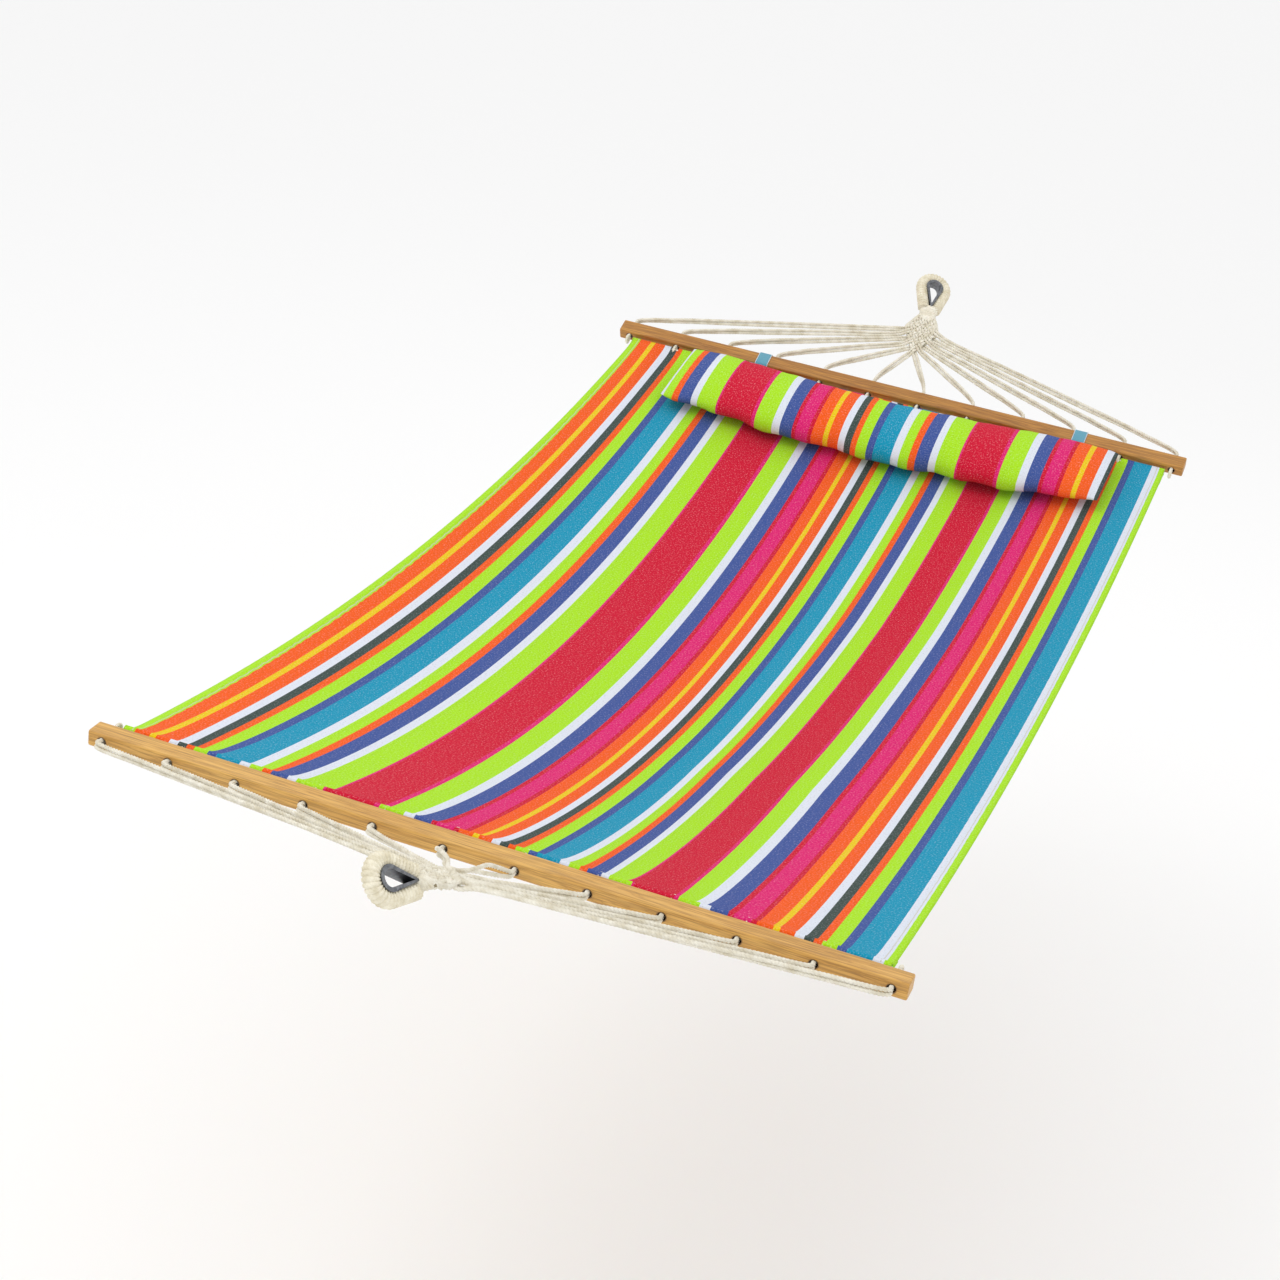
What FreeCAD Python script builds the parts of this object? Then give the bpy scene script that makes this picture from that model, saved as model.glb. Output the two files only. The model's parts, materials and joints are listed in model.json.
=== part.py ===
"""Rope hammock: a striped cloth bed between two wooden spreader bars, each hung from a fan of
doubled ropes (nettles) that is woven together and ends in a served rope eye with a thimble.

+X runs along the bars, +Y from the foot to the head, +Z up. The origin is the point of the head
thimble that the hook bears on. Lengths are in millimetres and angles in degrees.
"""

import FreeCAD, Part
import math
import os
import re

import Sketcher
from FreeCAD import Placement, Rotation, Vector

SIZES = [
    ("bar_length", 1219, "length of a spreader bar"),
    ("bar_height", 26, "height of the bar's section"),
    ("bar_depth", 34, "depth of the bar's section, along its rope holes"),
    ("bar_round", 5, "radius of the bar's long edges"),
    ("bar_end_round", 2.5, "radius of the edges round the bar's ends"),
    ("hole_count", 12, "rope holes in each bar"),
    ("hole_pitch", 106.7, "distance between neighbouring rope holes"),
    ("hole_bore", 13, "diameter of a rope hole"),
    ("hem_spacing", 2051, "distance between the two hem ropes"),
    ("hem_gap", 11, "from a hem rope's middle to its bar's inner face"),
    ("hem_rope", 8, "diameter of a hem rope"),
    ("hem_play", 0.3, "clearance round a hem rope inside its casing"),
    ("cloth_width", 1150, "width of the bed cloth"),
    ("cloth_thick", 2.5, "thickness of the bed cloth with its seams"),
    ("edge_sag", 85, "how far the cloth's side edges hang at mid length"),
    ("middle_sag", 180, "how far the cloth's middle hangs at mid length"),
    ("notch_width", 18, "width of each notch in the hem for a rope bight"),
    ("notch_play", 0.6, "clearance between a bight and its notch"),
    ("rope_width", 6, "diameter of a nettle rope"),
    ("leg_gap", 0.4, "gap between the two legs of a nettle"),
    ("bight_play", 0.3, "gap between a bight and the hem rope in it"),
    ("bight_ease", 8, "length over which a leg turns at the inner mouth"),
    ("swing_gap", 7, "from a bar's outer face to the clew's swing axis"),
    ("bight_stop", 2, "from the end of a bight to the swing axis"),
    ("leg_start", 6.5, "from the swing axis to the start of a nettle's legs"),
    ("leg_turn", 7, "length over which a nettle turns into the fan"),
    ("slack_rise", 11, "how far the two slack foot nettles bow out of the fan"),
    ("head_roll", 24, "angle of the head bar's holes above the horizontal"),
    ("foot_roll", 0, "angle of the foot bar's holes above the horizontal"),
    ("head_lift", 36, "angle of the head clew above the horizontal"),
    ("foot_lift", 20, "angle of the foot clew above the horizontal"),
    ("weave_start", 90, "from the swing axis to the point of the woven body"),
    ("weave_middle", 155, "from the swing axis to its widest place"),
    ("weave_end", 198, "from the swing axis to the neck"),
    ("weave_width", 75, "greatest width of the woven body"),
    ("neck_width", 34, "width of the woven body at the neck"),
    ("weave_thick", 16, "thickness of the woven body"),
    ("weave_round", 4, "radius of the woven body's edges"),
    ("knot_width", 48, "width of the neck knot"),
    ("knot_length", 34, "length of the neck knot along the eye"),
    ("knot_thick", 30, "thickness of the neck knot"),
    ("eye_bundle", 24, "diameter of the served rope bundle"),
    ("eye_core", 19, "diameter of the bundle of ropes inside the serving"),
    ("eye_radius", 26, "radius of the bundle's middle line round the crown"),
    ("eye_reach", 67, "from the neck to the middle of the crown"),
    ("eye_foot", 13, "from the neck to where the eye's two legs start"),
    ("eye_split", 0.4, "gap between the eye's two legs at the neck"),
    ("thimble_play", 0.2, "clearance between thimble and bundle"),
    ("thimble_wall", 1.6, "thickness of the thimble's metal"),
    ("thimble_width", 22.6, "width of the thimble across its groove"),
    ("thimble_lip", 4.4, "height of the thimble's lips above its web"),
    ("thimble_point", 18, "from the neck to the thimble's point"),
    ("head_eye_yaw", 8, "how far the head eye leans to the left in its fan"),
    ("head_eye_drop", 0, "how far the head eye hangs below its fan"),
    ("head_eye_roll", 22, "how far the head eye is turned about its length"),
    ("foot_eye_yaw", -24, "the same for the foot eye, seen from its own bar"),
    ("foot_eye_drop", -4, "the same for the foot eye"),
    ("foot_eye_roll", -60, "the same for the foot eye"),
    ("pillow_length", 915, "length of the pillow"),
    ("pillow_depth", 170, "depth of the pillow from its back seam to its front"),
    ("pillow_thick", 74, "thickness of the pillow at its middle"),
    ("pillow_shift", 26, "how far the pillow lies to the right of the middle"),
    ("pillow_back", 22, "from the head hem rope to the pillow's back seam at its ends"),
    ("pillow_bow", 30, "how much farther back the pillow's middle lies than its ends"),
    ("pillow_cover", 1.5, "thickness of the pillow's case"),
    ("pillow_droop", 10, "how far the pillow's end seams hang below its middle line"),
    ("pillow_play", 4, "clearance between the pillow and the bed cloth"),
    ("strap_width", 27, "width of a pillow strap"),
    ("strap_thick", 1.6, "thickness of a pillow strap"),
    ("strap_play", 0.4, "clearance between a strap and the bar"),
    ("strap_left", -289, "place of the left strap along the bar"),
    ("strap_right", 392, "place of the right strap along the bar"),
    ("strap_tail", 26, "length of a strap from its bar loop to the pillow"),
    ("strap_height", 5, "height of a strap's tail on the bar's inner face"),
]

PILLOW_STATIONS = [
    # share of the half length, share of the full depth, share of the full thickness
    (-1.0, 1.0, 0.10),
    (-0.93, 1.13, 0.50),
    (-0.8, 1.12, 0.8),
    (-0.5, 1.04, 0.97),
    (-0.25, 1.01, 0.995),
    (0.0, 1.0, 1.0),
    (0.25, 1.01, 0.995),
    (0.5, 1.04, 0.97),
    (0.8, 1.12, 0.8),
    (0.93, 1.13, 0.50),
    (1.0, 1.0, 0.10),
]
SLACK_NETTLES = (5, 6)  # the foot nettles that hang slack, counted from the foot bar's own left

doc = FreeCAD.newDocument("rope_hammock")
nodes = []


def make_sheet():
    """The spreadsheet of driving dimensions: one row each, with the value's alias in column B."""
    table = doc.addObject("Spreadsheet::Sheet", "sizes")
    for row, (alias, value, meaning) in enumerate(SIZES, 1):
        table.set(f"A{row}", alias)
        table.set(f"B{row}", str(value))
        table.set(f"C{row}", meaning)
        table.setAlias(f"B{row}", alias)
    doc.recompute()
    return table


sheet = make_sheet()


def size(alias):
    return float(sheet.get(alias))


def bind(thing, **formulas):
    """Binds properties of a document object to the sheet, such as Radius="rope_width / 2"."""
    for name, formula in formulas.items():
        thing.setExpression(name, re.sub(r"([a-z]\w*)", r"sizes.\1", formula))


def keep(thing, name):
    """Makes a document object one of the hammock's pieces."""
    thing.Label = name
    nodes.append(thing)
    return thing


def solid_piece(name, shape, frame=Placement()):
    """A piece whose route or surface no sketch describes, as a plain feature."""
    thing = doc.addObject("Part::Feature", name)
    thing.Shape = shape
    thing.Placement = frame
    return keep(thing, name)


def hole_places():
    """Where the rope holes are along a bar, from its own left to its right."""
    count = round(size("hole_count"))
    return [(i - (count - 1) / 2) * size("hole_pitch") for i in range(count)]


# ---- frames -------------------------------------------------------------------------------------
# A bar's frame has its origin on the hem rope's middle line and +Y out along the rope holes.
# A clew's frame has its origin on the swing axis and +Y along the middle of the fan.
# An eye's frame has its origin at the neck and +Y along the eye.


def turned(axis, angle):
    return Placement(Vector(), Rotation(axis, angle))


def facing(end):
    """The foot end looks the other way, so its frames are turned half round."""
    return turned(Vector(0, 0, 1), 0 if end == "head" else 180)


def hem_frame(end):
    reach = size("hem_spacing") / 2
    return Placement(Vector(0, reach if end == "head" else -reach, 0), Rotation()) * facing(end)


def bar_frame(end):
    return hem_frame(end) * turned(Vector(1, 0, 0), size(end + "_roll"))


def clew_frame(end):
    out = size("hem_gap") + size("bar_depth") + size("swing_gap")
    lift = size(end + "_lift") - size(end + "_roll")
    return bar_frame(end) * Placement(Vector(0, out, 0), Rotation(Vector(1, 0, 0), lift))


def eye_frame(end):
    neck = Placement(Vector(0, size("weave_end"), 0), Rotation())
    lean = turned(Vector(1, 0, 0), -size(end + "_eye_drop")) * turned(
        Vector(0, 0, 1), size(end + "_eye_yaw")
    )
    return clew_frame(end) * neck * lean * turned(Vector(0, 1, 0), size(end + "_eye_roll"))


def hook_point(end):
    """Where a hook bears on the thimble: the inside of its crown."""
    bore = size("eye_radius") - size("eye_bundle") / 2 - size("thimble_play") - size("thimble_wall")
    return eye_frame(end).multVec(Vector(0, size("eye_reach") + bore, 0))


ORIGIN = Placement(-hook_point("head"), Rotation())


# ---- paths and sketches -------------------------------------------------------------------------


def rounded_path(points, eases):
    """Straight runs joined by tangent arcs: eases says how much of both runs each corner takes."""
    edges = []
    start = points[0]
    for before, corner, after, ease in zip(points, points[1:], points[2:], eases):
        back = (before - corner).normalize()
        ahead = (after - corner).normalize()
        first = corner + back * ease
        last = corner + ahead * ease
        half = back.getAngle(ahead) / 2
        bisector = (back + ahead).normalize()
        radius = ease * math.tan(half)
        middle = corner + bisector * (ease / math.cos(half) - radius)
        if (first - start).Length > 0.01:
            edges.append(Part.LineSegment(start, first).toShape())
        edges.append(Part.Arc(first, middle, last).toShape())
        start = last
    edges.append(Part.LineSegment(start, points[-1]).toShape())
    return Part.Wire(edges)


def rope_solid(path, diameter):
    """A round rope along a path; its volume is compared with its section times its length."""
    edge = path.Edges[0]
    way = edge.tangentAt(edge.FirstParameter)
    section = Part.Wire(Part.makeCircle(diameter / 2, edge.valueAt(edge.FirstParameter), way))
    rope = path.makePipeShell([section], True, True)
    expected = math.pi * diameter**2 / 4 * path.Length
    if not rope.isValid() or abs(rope.Volume - expected) > 0.02 * expected:
        raise ValueError(f"a rope of {path.Length:.0f} mm came out wrong: {rope.Volume:.0f} mm3")
    return rope


def body_sketch(body, name, role, offset=Vector()):
    """A sketch on one of a body's own origin planes."""
    sketch = body.newObject("Sketcher::SketchObject", name)
    plane = next(f for f in body.Origin.OriginFeatures if f.Role == role)
    sketch.AttachmentSupport = [(plane, "")]
    sketch.MapMode = "FlatFace"
    sketch.AttachmentOffset = Placement(offset, Rotation())
    return sketch


def closed_outline(sketch, corners):
    """Straight lines from corner to corner, joined at their ends."""
    first = sketch.GeometryCount
    for a, b in zip(corners, corners[1:] + corners[:1]):
        sketch.addGeometry(Part.LineSegment(a, b), False)
    for k in range(len(corners)):
        after = (k + 1) % len(corners)
        sketch.addConstraint(Sketcher.Constraint("Coincident", first + k, 2, first + after, 1))
    return first


def hold(sketch, name, formula, kind, *where):
    """A named dimension of a sketch, bound to the sheet."""
    sketch.addConstraint(Sketcher.Constraint(kind, *where))
    sketch.renameConstraint(sketch.ConstraintCount - 1, name)
    bind(sketch, **{f"Constraints.{name}": formula})


def rectangle(sketch, names, low, high):
    """A rectangle held by its corners; names are the two pairs of formulas of those corners."""
    corners = [low, Vector(high.x, low.y, 0), high, Vector(low.x, high.y, 0)]
    first = closed_outline(sketch, corners)
    for k, kind in enumerate(("Horizontal", "Vertical", "Horizontal", "Vertical")):
        sketch.addConstraint(Sketcher.Constraint(kind, first + k))
    for corner, line, (across, up) in (("low", first, names[0]), ("high", first + 2, names[1])):
        place = low if corner == "low" else high
        hold(sketch, corner + "_across", across, "DistanceX", -1, 1, line, 1, place.x)
        hold(sketch, corner + "_up", up, "DistanceY", -1, 1, line, 1, place.y)


# ---- spreader bars ------------------------------------------------------------------------------


def edges_where(shape, test):
    return [f"Edge{k}" for k, edge in enumerate(shape.Edges, 1) if test(edge)]


def spreader_bar(end):
    """A rounded hardwood bar with a row of rope holes through its depth."""
    body = doc.addObject("PartDesign::Body", end + "_bar_body")
    inner, depth, half = size("hem_gap"), size("bar_depth"), size("bar_height") / 2
    section = body_sketch(body, end + "_bar_section", "YZ_Plane")
    rectangle(
        section,
        (("hem_gap", "-bar_height / 2"), ("hem_gap + bar_depth", "bar_height / 2")),
        Vector(inner, -half, 0),
        Vector(inner + depth, half, 0),
    )
    blank = body.newObject("PartDesign::Pad", end + "_bar_blank")
    blank.Profile = section
    blank.Midplane = True
    bind(blank, Length="bar_length")
    doc.recompute()

    long_edges = edges_where(blank.Shape, lambda e: e.Length > size("bar_length") / 2)
    rounded = body.newObject("PartDesign::Fillet", end + "_bar_long_edges")
    rounded.Base = (blank, long_edges)
    bind(rounded, Radius="bar_round")
    doc.recompute()
    tip = size("bar_length") / 2
    at_end = edges_where(rounded.Shape, lambda e: abs(abs(e.CenterOfMass.x) - tip) < 0.01)
    eased = body.newObject("PartDesign::Fillet", end + "_bar_end_edges")
    eased.Base = (rounded, at_end)
    bind(eased, Radius="bar_end_round")

    mouth = body_sketch(body, end + "_first_hole", "XZ_Plane")
    place = hole_places()[0]
    mouth.addGeometry(Part.Circle(Vector(place, 0, 0), Vector(0, 0, 1), size("hole_bore") / 2))
    hold(mouth, "bore", "hole_bore", "Diameter", 0, size("hole_bore"))
    hold(mouth, "place", "-(hole_count - 1) / 2 * hole_pitch", "DistanceX", -1, 1, 0, 3, place)
    mouth.addConstraint(Sketcher.Constraint("PointOnObject", 0, 3, -1))
    hole = body.newObject("PartDesign::Pocket", end + "_bar_hole")
    hole.Profile = mouth
    hole.Type = 1
    hole.Midplane = True
    row = body.newObject("PartDesign::LinearPattern", end + "_bar_hole_row")
    row.Originals = [hole]
    row.Direction = (next(f for f in body.Origin.OriginFeatures if f.Role == "X_Axis"), [""])
    bind(row, Length="(hole_count - 1) * hole_pitch", Occurrences="hole_count")
    body.Tip = row
    doc.recompute()
    drilled = math.pi * size("hole_bore") ** 2 / 4 * depth * size("hole_count")
    if abs(eased.Shape.Volume - row.Shape.Volume - drilled) > 0.01 * drilled:
        raise ValueError(f"the rope holes of the {end} bar weren't all drilled")
    body.Placement = ORIGIN * bar_frame(end)
    return keep(body, end + "_spreader_bar")


# ---- bed cloth and hem ropes --------------------------------------------------------------------


def hem_rope(end):
    """The rope inside the cloth's end hem, which the bights hold."""
    rope = doc.addObject("Part::Cylinder", end + "_hem_cylinder")
    bind(rope, Radius="hem_rope / 2", Height="cloth_width")
    along = Placement(Vector(-size("cloth_width") / 2, 0, 0), Rotation(Vector(0, 1, 0), 90))
    rope.Placement = ORIGIN * hem_frame(end) * along
    return keep(rope, end + "_hem_rope")


def hem_cylinder(end, radius):
    width = size("cloth_width")
    rod = Part.makeCylinder(radius, width, Vector(-width / 2, 0, 0), Vector(1, 0, 0))
    rod.Placement = hem_frame(end)
    return rod


def bed_cloth():
    """A sheet that hangs as a parabola along and across, with a casing round each hem rope.
    A Bezier patch with three poles each way is exactly that surface."""
    half_width, half_length = size("cloth_width") / 2, size("hem_spacing") / 2
    across = (size("edge_sag"), 2 * size("middle_sag") - size("edge_sag"), size("edge_sag"))
    along = (0, 2, 0)
    hang = Part.BezierSurface()
    hang.increase(2, 2)
    thick = size("cloth_thick")
    for i in range(3):
        for j in range(3):
            height = thick / 2 - across[i] * along[j]
            hang.setPole(i + 1, j + 1, Vector((i - 1) * half_width, (j - 1) * half_length, height))
    cloth = hang.toShape().extrude(Vector(0, 0, -thick))
    channel = size("hem_rope") / 2 + size("hem_play")
    for end in ("head", "foot"):
        cloth = cloth.fuse(hem_cylinder(end, channel + thick))
    for end in ("head", "foot"):
        cloth = cloth.cut(hem_cylinder(end, channel))
    wide = size("notch_width")
    deep = size("hem_rope") / 2 + size("bight_play") + size("rope_width") + size("notch_play")
    notch = Part.makeBox(wide, 3 * deep, 4 * deep, Vector(-wide / 2, -deep, -2 * deep))
    for end in ("head", "foot"):
        for place in hole_places():
            cut = notch.copy()
            cut.Placement = hem_frame(end) * Placement(Vector(place, 0, 0), Rotation())
            cloth = cloth.cut(cut)
    return solid_piece("bed_fabric", cloth.removeSplitter(), ORIGIN)


# ---- nettles and bights -------------------------------------------------------------------------


def leg_height():
    """How far each leg of a doubled rope is from the nettle's middle."""
    return (size("rope_width") + size("leg_gap")) / 2


def bight_path():
    """In through a bar's hole, round the hem rope, and out again above itself."""
    turn = size("hem_rope") / 2 + size("bight_play") + size("rope_width") / 2
    mouth, leg = size("hem_gap"), leg_height()
    out = mouth + size("bar_depth") + size("swing_gap") - size("bight_stop")
    reach = math.hypot(mouth, leg)
    lean = math.asin(turn / reach) - math.atan2(leg, mouth)
    touch = Vector(0, turn * math.sin(lean), turn * math.cos(lean))
    top = [Vector(0, out, leg), Vector(0, mouth, leg), touch]
    upper = rounded_path(top, [size("bight_ease") / 2 * min(1, (top[2] - top[1]).Length / 8)])
    lower = upper.mirror(Vector(), Vector(0, 0, 1))
    low_touch = Vector(0, touch.y, -touch.z)
    loop = Part.Arc(touch, Vector(0, -turn, 0), low_touch).toShape()
    return Part.Wire(Part.__sortEdges__(upper.Edges + [loop] + lower.Edges))


def rope_bights(end):
    """The part of each nettle inside the bar: one loop for every hole."""
    one = rope_solid(bight_path(), size("rope_width"))
    loops = []
    for place in hole_places():
        loop = one.copy()
        loop.translate(Vector(place, 0, 0))
        loops.append(loop)
    return solid_piece(end + "_rope_bights", Part.Compound(loops), ORIGIN * bar_frame(end))


def weave_entry(place):
    """Where the nettle from that hole goes into the woven body's lower edges."""
    share = (abs(place) / size("hole_pitch") + 0.5) / (size("hole_count") / 2) - 0.5 / (
        size("hole_count") / 2
    )
    side = math.copysign(1, place)
    start, middle = size("weave_start"), size("weave_middle")
    return Vector(side * share * size("weave_width") / 2, start + share * (middle - start), 0)


def leg_points(end, index, place, height):
    """The points that one leg of a nettle follows, in its clew's frame."""
    mouth = Vector(place, size("leg_start"), height)
    corner = mouth + Vector(0, size("leg_turn"), 0)
    entry = weave_entry(place) + Vector(0, 0, height)
    inward = (entry - corner).normalize() * size("rope_width")
    if end == "foot" and index in SLACK_NETTLES:
        rise = Vector(0, 0, size("slack_rise"))
        third = (entry - corner) / 3
        return [mouth, corner, corner + third + rise, entry - third * 0.8 - rise / 3, entry]
    return [mouth, corner, entry + inward]


def nettle(end, index, place, weave):
    """The two legs of one doubled rope, from the swing axis to the woven body."""
    legs = []
    for height in (leg_height(), -leg_height()):
        points = leg_points(end, index, place, height)
        eases = [size("leg_turn") * 0.98] + [size("leg_turn")] * (len(points) - 3)
        legs.append(rope_solid(rounded_path(points, eases), size("rope_width")).cut(weave))
    name = f"{end}_nettle_{index + 1:02d}"
    return solid_piece(name, Part.Compound(legs), ORIGIN * clew_frame(end))


# ---- clews --------------------------------------------------------------------------------------


def woven_body(end):
    """The flat body where the nettles are woven together: a lozenge cut off at the neck."""
    body = doc.addObject("PartDesign::Body", end + "_weave_body")
    start, middle, stop = size("weave_start"), size("weave_middle"), size("weave_end")
    wide, neck = size("weave_width") / 2, size("neck_width") / 2
    outline = body_sketch(body, end + "_weave_outline", "XY_Plane")
    corners = [
        ("point", Vector(0, start, 0), "0", "weave_start"),
        ("right", Vector(wide, middle, 0), "weave_width / 2", "weave_middle"),
        ("neck_right", Vector(neck, stop, 0), "neck_width / 2", "weave_end"),
        ("neck_left", Vector(-neck, stop, 0), "-neck_width / 2", "weave_end"),
        ("left", Vector(-wide, middle, 0), "-weave_width / 2", "weave_middle"),
    ]
    closed_outline(outline, [place for _, place, _, _ in corners])
    outline.addConstraint(Sketcher.Constraint("PointOnObject", 0, 1, -2))
    for k, (name, place, across, up) in enumerate(corners):
        if k:
            hold(outline, name + "_across", across, "DistanceX", -1, 1, k, 1, place.x)
        hold(outline, name + "_along", up, "DistanceY", -1, 1, k, 1, place.y)
    mat = body.newObject("PartDesign::Pad", end + "_weave_mat")
    mat.Profile = outline
    mat.Midplane = True
    bind(mat, Length="weave_thick")
    doc.recompute()
    soft = body.newObject("PartDesign::Fillet", end + "_weave_edges")
    soft.Base = (mat, edges_where(mat.Shape, lambda e: abs(e.CenterOfMass.z) > 0.01))
    bind(soft, Radius="weave_round")
    body.Placement = ORIGIN * clew_frame(end)
    return keep(body, end + "_clew_weave")


def neck_knot(end, weave):
    """The knot that gathers all the ropes at the neck, shaped round the end of the weave."""
    lump = doc.addObject("Part::Ellipsoid", end + "_neck_lump")
    bind(lump, Radius1="knot_thick / 2", Radius2="knot_width / 2", Radius3="knot_length / 2")
    lump.Angle1, lump.Angle2, lump.Angle3 = -90, 90, 360
    lying = Rotation(Vector(0, 0, 1), Vector(1, 0, 0), Vector(0, 1, 0), "ZXY")
    lump.Placement = ORIGIN * eye_frame(end) * Placement(Vector(), lying)
    knot = doc.addObject("Part::Cut", end + "_neck_cut")
    knot.Base = lump
    knot.Tool = weave
    return keep(knot, end + "_neck_knot"), lump


def teardrop_tangent(radius, reach, apex):
    """The right-hand point where a line from the apex touches a circle round (0, reach)."""
    rise = math.asin(radius / (reach - apex))
    return Vector(radius * math.cos(rise), reach - radius * math.sin(rise), 0)


def eye_path():
    """The middle line of the served bundle: out along one leg, round the crown and back."""
    radius, reach = size("eye_radius"), size("eye_reach")
    foot = Vector((size("eye_bundle") + size("eye_split")) / 2, size("eye_foot"), 0)
    away = Vector(0, reach, 0) - foot
    lean = math.asin(radius / away.Length) - math.atan2(foot.x, away.y)
    touch = Vector(radius * math.cos(lean), reach - radius * math.sin(lean), 0)
    left_touch, left_foot = Vector(-touch.x, touch.y, 0), Vector(-foot.x, foot.y, 0)
    return Part.Wire(
        [
            Part.LineSegment(foot, touch).toShape(),
            Part.Arc(touch, Vector(0, reach + radius, 0), left_touch).toShape(),
            Part.LineSegment(left_touch, left_foot).toShape(),
        ]
    )


def rope_eye(end, weave, lump):
    """The bundle of ropes round the eye, and the cord served tightly round the bundle."""
    frame = ORIGIN * eye_frame(end)
    back = frame.inverse()
    blocks = []
    for block in (weave, lump):
        shape = block.Shape.copy()
        shape.Placement = back * shape.Placement
        blocks.append(shape)
    core = rope_solid(eye_path(), size("eye_core")).cut(blocks)
    sleeve = rope_solid(eye_path(), size("eye_bundle"))
    sleeve = sleeve.cut([rope_solid(eye_path(), size("eye_core"))] + blocks)
    solid_piece(end + "_eye_core", core, frame)
    solid_piece(end + "_eye_serving", sleeve, frame)


def teardrop(sketch, label, formula, radius, tip, apex):
    """A teardrop outline: a crown round the eye's middle, and two lines to the point."""
    reach = size("eye_reach")
    touch = teardrop_tangent(radius, reach, apex)
    middle, point = Vector(0, reach, 0), Vector(0, apex, 0)
    left = Vector(-touch.x, touch.y, 0)
    start = math.atan2(touch.y - reach, touch.x)
    crown = Part.ArcOfCircle(
        Part.Circle(middle, Vector(0, 0, 1), radius), start, math.pi - start
    )
    first = sketch.GeometryCount
    sketch.addGeometry(crown, False)
    sketch.addGeometry(Part.LineSegment(left, point), False)
    sketch.addGeometry(Part.LineSegment(point, touch), False)
    for joined in ((first, 2, first + 1, 1), (first + 2, 2, first, 1)):
        sketch.addConstraint(Sketcher.Constraint("Tangent", *joined))
    sketch.addConstraint(Sketcher.Constraint("Coincident", first + 1, 2, first + 2, 1))
    sketch.addConstraint(Sketcher.Constraint("PointOnObject", first, 3, -2))
    sketch.addConstraint(Sketcher.Constraint("PointOnObject", first + 1, 2, -2))
    hold(sketch, label + "_radius", formula, "Radius", first, radius)
    hold(sketch, label + "_middle", "eye_reach", "DistanceY", -1, 1, first, 3, reach)
    hold(sketch, label + "_point", tip, "DistanceY", -1, 1, first + 1, 2, apex)


def thimble(end):
    """A grooved metal teardrop that lines the eye."""
    body = doc.addObject("PartDesign::Body", end + "_thimble_body")
    seat = size("eye_radius") - size("eye_bundle") / 2 - size("thimble_play")
    web = "eye_radius - eye_bundle / 2 - thimble_play"
    lip, wall, point = size("thimble_lip"), size("thimble_wall"), size("thimble_point")
    lip_tip, bore_tip = "thimble_point - thimble_lip", "thimble_point + 3.5 * thimble_wall"
    ring = body_sketch(body, end + "_thimble_ring", "XY_Plane")
    teardrop(ring, "lip", web + " + thimble_lip", seat + lip, lip_tip, point - lip)
    teardrop(ring, "bore", web + " - thimble_wall", seat - wall, bore_tip, point + 3.5 * wall)
    blank = body.newObject("PartDesign::Pad", end + "_thimble_blank")
    blank.Profile = ring
    blank.Midplane = True
    bind(blank, Length="thimble_width")
    groove = body_sketch(body, end + "_thimble_groove", "XY_Plane")
    outer = web + " + thimble_lip + 1"
    teardrop(groove, "outside", outer, seat + lip + 1, lip_tip + " - 3", point - lip - 3)
    teardrop(groove, "seat", web, seat, "thimble_point", point)
    doc.recompute()
    cut = body.newObject("PartDesign::Pocket", end + "_thimble_cut")
    cut.Profile = groove
    cut.Midplane = True
    bind(cut, Length="thimble_width - 2 * thimble_wall")
    doc.recompute()
    if not cut.Shape.Volume < 0.6 * blank.Shape.Volume:
        raise ValueError(f"the groove of the {end} thimble wasn't cut")
    body.Placement = ORIGIN * eye_frame(end)
    return keep(body, end + "_thimble")


def clew(end):
    weave = woven_body(end)
    doc.recompute()
    local = weave.Shape.copy()
    local.Placement = Placement()
    for index, place in enumerate(hole_places()):
        nettle(end, index, place, local)
    _, lump = neck_knot(end, weave)
    doc.recompute()
    rope_eye(end, weave, lump)
    thimble(end)


# ---- pillow -------------------------------------------------------------------------------------


def bed_height(x, y):
    """Height of the bed cloth's middle surface below the hem ropes."""
    across = (2 * x / size("cloth_width")) ** 2
    along = (2 * y / size("hem_spacing")) ** 2
    sag = size("edge_sag") + (size("middle_sag") - size("edge_sag")) * (1 - across)
    return -sag * (1 - along)


def pillow_section(share, deep, thick, shrink):
    """The pillow's oval at one station: its middle, its lean, and its half depth and thickness.
    It lies on the cloth, so it leans with it."""
    x = share * (size("pillow_length") / 2 - shrink) + size("pillow_shift")
    bow = size("pillow_bow") * (1 - share**2)
    back = size("hem_spacing") / 2 - size("pillow_back") - bow
    own_depth = deep * size("pillow_depth")
    y = back - own_depth / 2
    front, rear = bed_height(x, y - own_depth / 2), bed_height(x, y + own_depth / 2)
    lean = math.atan2(rear - front, own_depth)
    half = max(thick * size("pillow_thick") / 2 - shrink, 1)
    low = size("cloth_thick") / 2 + size("pillow_play") + size("pillow_thick") / 2
    low -= size("pillow_droop") * share**6
    rest = (front + rear) / 2 + low / math.cos(lean)
    return Vector(x, y, rest), lean, own_depth / 2 - shrink, half


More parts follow.
